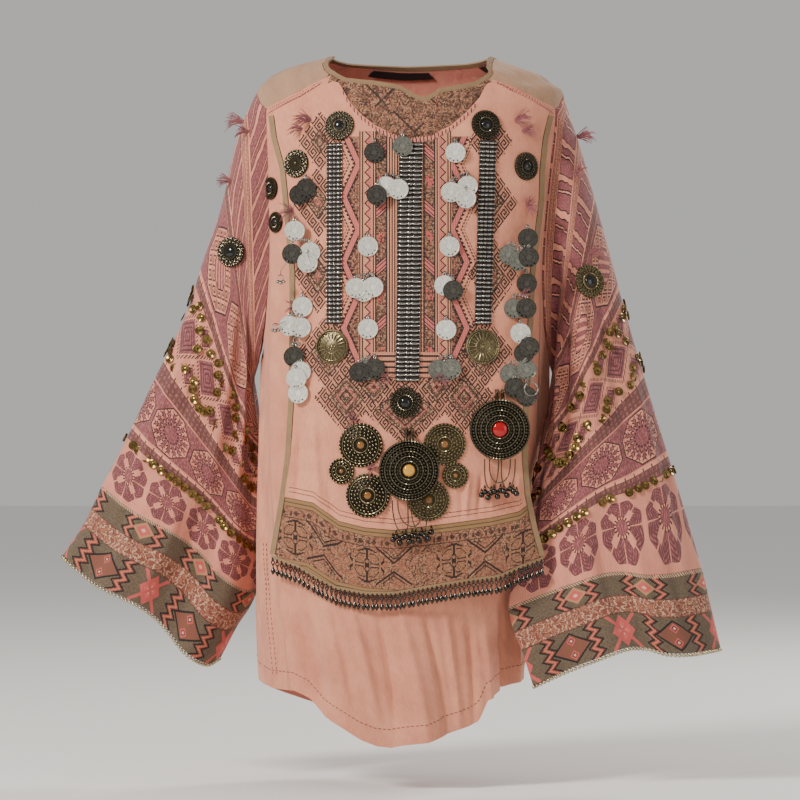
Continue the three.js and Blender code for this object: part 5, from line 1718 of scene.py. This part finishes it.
def behind(x, z, radius):
    """The foremost fixed surface under a round thing."""
    turns = [k * math.pi / 4 for k in range(8)]
    spots = [(x + radius * math.cos(turn), z + radius * math.sin(turn)) for turn in turns]
    return min(foremost(*spot) for spot in [*spots, (x, z)])


def chain(start, end, link):
    """Small rings from one point to another, each turned across the last."""
    start, end = np.asarray(start, float), np.asarray(end, float)
    count = max(1, round(np.linalg.norm(end - start) / (link * 1.5)))
    spots = [start + (end - start) * (k + 0.5) / count for k in range(count)]
    return [
        faced(hoop(link, 0.45, 10, SILVER), spot, (0.25, -1, 0.05) if k % 2 else (1, -0.35, 0.05))
        for k, spot in enumerate(spots)]


for drop, coins in COINS.items():
    random = np.random.default_rng(drop)
    top = max(coins, key=lambda coin: coin[1])
    hinge_x, hinge_z = top[0], top[1] + COIN_RADIUS + COIN_RING
    hinge_y = foremost(hinge_x, hinge_z) - COIN_WIRE / 2 - SEAM
    hinge = np.array([hinge_x, hinge_y, hinge_z])
    back = min([hinge_y, *(behind(x, z, COIN_RADIUS) for x, z, *_ in coins)]) - COIN_GAP
    centres = [
        np.array([x, back - COIN_THICK / 2 - layer * (COIN_THICK + COIN_GAP), z])
        for x, z, layer, _ in coins]
    parts = [faced(hoop(1.7, 0.5, 12, SILVER), hinge - (0, 0, 0.6), (1, -0.5, 0))]
    for centre, (x, z, layer, tone) in zip(centres, coins):
        lean = (random.uniform(-0.09, 0.09), -1, random.uniform(-0.05, 0.05))
        points, faces, corners, _ = lathe(COIN_PROFILE, 32)
        parts.append(faced((points, faces, corners, tone), centre, lean, random.uniform(-0.6, 0.6)))
        eye = centre + (0, 0, COIN_RADIUS + 0.9)
        parts.append(faced(hoop(1.5, 0.55, 10, SILVER), eye, (0.5, -1, 0)))
        higher = [other for other in centres if other[2] - centre[2] > COIN_RADIUS]
        near = min(higher, key=lambda other: np.linalg.norm(other - centre)) if higher else None
        start = hinge if near is None else near - (0, 0, COIN_RADIUS - 1.5)
        if np.linalg.norm(start - eye) > 3:
            parts += chain(start, eye + (0, 0, 1.2), 1.5)
    for bell_x, bell_z, from_x, from_z in DROP_BELLS.get(drop, ()):
        y = min(centre[1] for centre in centres) - 2.2
        wire = [
            (from_x, y + 1, from_z), (bell_x, y, (from_z + bell_z) / 2), (bell_x, y, bell_z + 7)]
        parts += strand(wire, 0.45, 5, SILVER)
        parts.append(faced(hoop(3.6, 0.55, 16, SILVER), (bell_x, y, bell_z + 4), (0.15, -1, 0)))
        for k in (-1, 0, 1):
            spot = (bell_x + k * 3.6, y, bell_z - 1.6 + abs(k) * 1.2)
            parts.append(faced(bead(2.1, 10, SILVER), spot, (0, -1, 0)))
    if drop == BIG_RING_DROP:
        spot = (BIG_RING_X, min(centre[1] for centre in centres) - 1.6, BIG_RING_Z)
        parts.append(faced(hoop(8, 0.8, 28, SILVER), spot, (0.2, -1, 0.1)))
    name = f"coin_drop_{drop:02d}"
    made = piece(f"{name}_coins", parts, coin_finishes, name)
    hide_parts(name)


# Pendants: heavy round castings in rings of grains and twisted wire about a set stone. Each hangs
# from a two-tube bail, with round bells on loops of wire below it.
bell_metal = metal("bell_metal", srgb(92, 90, 84), srgb(14, 13, 12), 0.16)
PENDANT_ROWS = [
    ("rope", 0.965, 60, 1.1, 3.0), ("grain", 0.88, 52, 1.35, 3.2), ("rope", 0.8, 46, 0.7, 3.6),
    ("grain", 0.715, 38, 1.3, 3.8), ("rope", 0.63, 36, 0.8, 4.2), ("grain", 0.55, 28, 1.25, 4.3),
    ("rope", 0.46, 26, 0.9, 4.6), ("grain", 0.385, 22, 0.9, 4.6), ("rope", 0.3, 20, 0.9, 4.9),
]
PENDANTS = [
    # x, z, radius, lift, bail, bells' x and z, spread, number of bells, stone share, stone
    (2.3, -458, 35, 6.2, -411, 6, -535, 44, 13, 0.2, citrine),
    (107, -411, 35, 1.2, -366, 106, -484, 40, 12, 0.255, red_stone),
]
BAIL_SEAT, TUBE_ASIDE, TUBE_RADIUS = 3.4, 3.4, 2.1
for number, row in enumerate(PENDANTS, 1):
    x, z, radius, lift, bail_z, bell_x, bell_z, spread, bells, stone_share, gem = row
    back = behind(x, z, radius) - 0.6 - lift
    front = (0, -1, 0)
    cast = rosette(radius, PENDANT_ROWS, (stone_share, 3.2), 3.4)
    parts = [faced(part, (x, back, z), front) for part in cast]
    hinge_y = foremost(x, bail_z) - BAIL_SEAT
    for tube_x in (x - TUBE_ASIDE, x + TUBE_ASIDE):
        tube = [
            (tube_x, hinge_y, bail_z + 0.6), (tube_x, hinge_y, bail_z - 4),
            (tube_x, (hinge_y + back) / 2 - 2, bail_z - 8), (tube_x, back - 2.5, z + radius - 1)]
        parts += strand(tube, TUBE_RADIUS, 10, 1)
        parts.append(faced(hoop(2.0, 0.7, 12, 1), tube[0], (0, 0.01, 1)))
    # Three loops of wire, the middle one shorter.
    ways = np.linspace(0, np.pi, 22)
    foot = z - radius + 1
    for aside, wide, reach in ((-0.24, 0.2, 1.0), (0.24, 0.2, 1.0), (0.0, 0.3, 0.8)):
        path = np.stack([
            x + spread * aside + (bell_x - x) * np.sin(ways) + spread * wide * np.cos(ways),
            0 * ways + back - 2,
            foot - (foot - bell_z - 5) * np.sin(ways) ** 0.6 * reach], -1)
        parts += strand(path, 0.7, 6, 1)
    for k, share in enumerate(np.linspace(-0.5, 0.5, bells)):
        level = bell_z + 4 * math.sin(k * 2.2) + share * 5
        bell = (bell_x + share * spread, back - 2 - (k % 3 - 1) * 1.6, level)
        parts.append(faced(bead(3.4, 12, 3), bell, front))
        for rise, way in ((4.4, (0.6, -1, 0)), (6.2, (-1, -0.4, 0))):
            parts.append(faced(hoop(1.5, 0.45, 10, 3), np.add(bell, (0, 0, rise)), way))
    finishes = [bronze, bronze_grain_painted_highlight, gem, bell_metal]
    pendant = piece(f"pendant_{number}_cast", parts, finishes, f"pendant_{number}")
    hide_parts(f"pendant_{number}")


# Bell fringe: a narrow tape sewn under the border, with a link, a dark red bead and a pointed bell
# for each of its strands.
FRINGE_STRANDS, FRINGE_TAPE, TAPE_THICK = 60, 4, 1.2
# Radius and height of a bell, from its eye down to its point.
FRINGE_BELL = [
    (0.02, 0), (0.9, -0.6), (0.8, -1.6), (2.5, -4.4), (2.7, -6.2), (1.5, -8.4), (0.9, -9.4),
    (0.02, -10)]
red_glass = plain("red_glass", srgb(64, 22, 26), 0.25)
columns = np.linspace(-157.5, 157.5, 160)
tape_top = straight(APRON_LOW, columns) - 2 * SEAM
z = tape_top[:, None] - FRINGE_TAPE * np.linspace(0, 1, 4)
x = np.broadcast_to(columns[:, None], z.shape)
points = apron_point(x, z)
parts = wall(points, TAPE_THICK, unrolled(points))
random = np.random.default_rng(5)
for x in np.linspace(-156, 156, FRINGE_STRANDS):
    root = straight(APRON_LOW, x) - 2 * SEAM - FRINGE_TAPE
    y = float(apron_y(x, root))
    sway = random.uniform(-0.8, 0.8)
    parts.append(faced(hoop(1.9, 0.75, 10, 2), (x, y - 0.4, root - 0.8), (1, -0.4, 0)))
    parts.append(faced(hoop(2.0, 0.75, 10, 2), (x + sway * 0.2, y - 0.6, root - 4), (0.3, -1, 0)))
    parts.append(faced(bead(1.3, 8, 3), (x + sway * 0.3, y - 0.6, root - 7.2), (0, -1, 0)))
    bell = lathe(FRINGE_BELL, 8, 2)
    parts.append(faced(bell, (x + sway, y - 0.6, root - 8.4), (0.05 * sway, 0.02, 1)))
fringe = piece("bell_fringe_strands", parts, [khaki_tape, khaki_tape, bell_metal, red_glass])
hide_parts("bell_fringe")


# Thread tufts: loose ends of mauve cotton, knotted through the cloth beside the embroidery and
# left to stand and droop.
mauve_thread = plain("mauve_thread", srgb(132, 72, 76), sheen=0.3)


def surface_near(x, z):
    """The outer cloth nearest to a place seen from the front, and its outward direction."""
    if APRON_SIDES[:, 1].min() < x < APRON_SIDES[:, 2].max() and abs(x) < 150:
        return apron_point(x, z), apron_normal(x, z)
    arm = "right" if x < 0 else "left"
    highest = ARMS[arm][1][0, 0]
    way, above = np.meshgrid(
        np.arange(4, 177, 3.0), np.arange(0, highest + TOP_RUN, 4.0), indexing="ij")
    places = sleeve(arm, way, above)
    near = np.argmin((places[..., 0] - x) ** 2 + (places[..., 2] - z) ** 2)
    way, above = way.ravel()[near], above.ravel()[near]
    return sleeve(arm, way, above), sleeve_normal(arm, way, above)


TUFTS = [
    # x, z, lean to the side, length, threads
    (-112, -52, -0.7, 17, 26), (-122, -62, -1.0, 13, 16), (126, -52, 0.8, 18, 26),
    (134, -64, 0.9, 14, 16), (139, -151, 0.2, 13, 24), (-132, -158, -0.3, 15, 20),
    (-61, -400, -0.2, 11, 20), (-44, -456, 0.4, 12, 14), (36, -354, 0.1, 12, 18),
    (-24, -352, -0.1, 10, 14), (-193, -48, -0.8, 18, 24), (-186, -62, -0.5, 14, 16),
    (205, -64, 0.8, 17, 22), (213, -204, 0.7, 15, 18), (-206, -120, -0.8, 14, 16),
    (196, -112, 0.5, 14, 16), (-128, -268, -0.5, 12, 14), (132, -256, 0.4, 12, 14),
]
random = np.random.default_rng(3)
parts = []
for x, z, lean, long, threads in TUFTS:
    place, outward = surface_near(x, z)
    place = place + outward * (CLOTH / 2)
    long *= 1.3  # for the part that leans out of view
    for _ in range(threads):
        root = place + random.uniform(-1.6, 1.6, 3) * (1, 0.2, 1)
        way = np.array([lean + random.uniform(-0.55, 0.55), 0, random.uniform(-0.5, 0.95)])
        way = unit(way + outward * 0.35)
        reach = long * random.uniform(0.6, 1.0)
        droop = np.array([0, 0, -reach * random.uniform(0.1, 0.35)])
        path = [
            root, root + way * reach * 0.4 + outward * 2.6,
            root + way * reach * 0.75 + outward * 3 + droop * 0.4,
            root + way * reach + outward * 2.2 + droop]
        parts += strand(path, [0.5, 0.5, 0.45, 0.2], 4)
tufts = piece("thread_tufts", parts, [mauve_thread])


# Seam and hem stitches: a laced pink stitch under each yoke seam, running stitches along the hem,
# the side seam and the yokes, two dark tucks above the border, and satin stitches round the top.
rose_thread = plain("rose_thread", srgb(216, 140, 122), 0.85, 0.3)
brown_thread = plain("brown_thread", srgb(104, 56, 48), 0.85)
PINK_STITCH, BROWN_STITCH = 0, 1
ON_CLOTH, HEM_STITCHES = CLOTH / 2 + 0.1, 21  # out from a wall's middle, and up from the hem
stitches = []


def running(path, stitch, gap, radius, finish):
    """Stitches of a length along a path, with a gap between them."""
    run = lengths(path, 0)
    for start in np.arange(0, run[-1] - stitch, stitch + gap):
        at = np.linspace(start, start + stitch, 4)
        part = np.stack([np.interp(at, run, path[:, k]) for k in range(3)], -1)
        stitches.extend(strand(part, radius, 5, finish))


hem_angle = np.linspace(-89, 89, 400)
for middle in (0, 180):
    angle = middle + hem_angle
    z = hem_edge(angle) + HEM_STITCHES
    creases = FRONT_CREASES if middle == 0 else BACK_CREASES
    out = creased(angle, z, creases) * eased(89.9 - np.abs(hem_angle), 0, 7)
    outward = body_normal(angle, z)
    running(body(angle, z) + outward * (out + ON_CLOTH)[:, None], 3.2, 2.4, 0.42, BROWN_STITCH)
z = np.linspace(-545, -700, 120)
for seam_angle in (-79, -76):
    angle = np.full_like(z, seam_angle)
    out = creased(angle, z, FRONT_CREASES) * eased(-z, 560, 620)
    outward = body_normal(angle, z)
    running(body(angle, z) + outward * (out + ON_CLOTH)[:, None], 3.0, 2.8, 0.42, BROWN_STITCH)
for sign in (-1, 1):
    from_front = np.linspace(36, 68, 160)
    angle = sign * from_front
    seam = below(angle, yoke_low(angle), SEAM)
    for offset in (2.2, 6.4):
        z = below(angle, seam, offset)
        path = body(angle, z) + body_normal(angle, z) * ON_CLOTH
        running(path, 2.2, 1.6, 0.4, BROWN_STITCH)
    for k in range(0, 160, 4):
        high, low = below(angle[k], seam[k], 2.4), below(angle[k], seam[k], 6.2)
        shift = 0.9 if (k // 4) % 2 else -0.2
        ends = np.array([
            body(angle[k] + shift, high), body(angle[k] + 0.4, (high + low) / 2),
            body(angle[k] - 0.3, low)])
        outward = body_normal(angle[k], high)
        stitches.extend(strand(ends + outward * (CLOTH / 2 + 0.4), 0.8, 5, PINK_STITCH))
x = np.linspace(-136, 134, 300)
for offset in (7.5, 12.5):
    z = straight(BORDER_TOP, x) + offset
    outward = apron_normal(x, z)
    out = creased(x, z, APRON_CREASES) + CLOTH / 2 + 0.05
    running(apron_point(x, z) + outward * out[:, None], 3.6, 0.5, 0.38, BROWN_STITCH)
x = np.linspace(-74, 80, 110)
for k in range(110):
    z = straight(APRON_TOP, x[k]) - 1.4
    ends = apron_point(np.array([x[k], x[k] + 0.5]), np.array([z, z - 4.4 - (k % 2)]))
    ends = ends + apron_normal(x[k], z) * (CLOTH / 2 + 0.2)
    stitches.extend(strand(ends, 0.6, 5, PINK_STITCH if k % 3 else BROWN_STITCH))
stitching = piece("seam_stitches", stitches, [rose_thread, brown_thread])
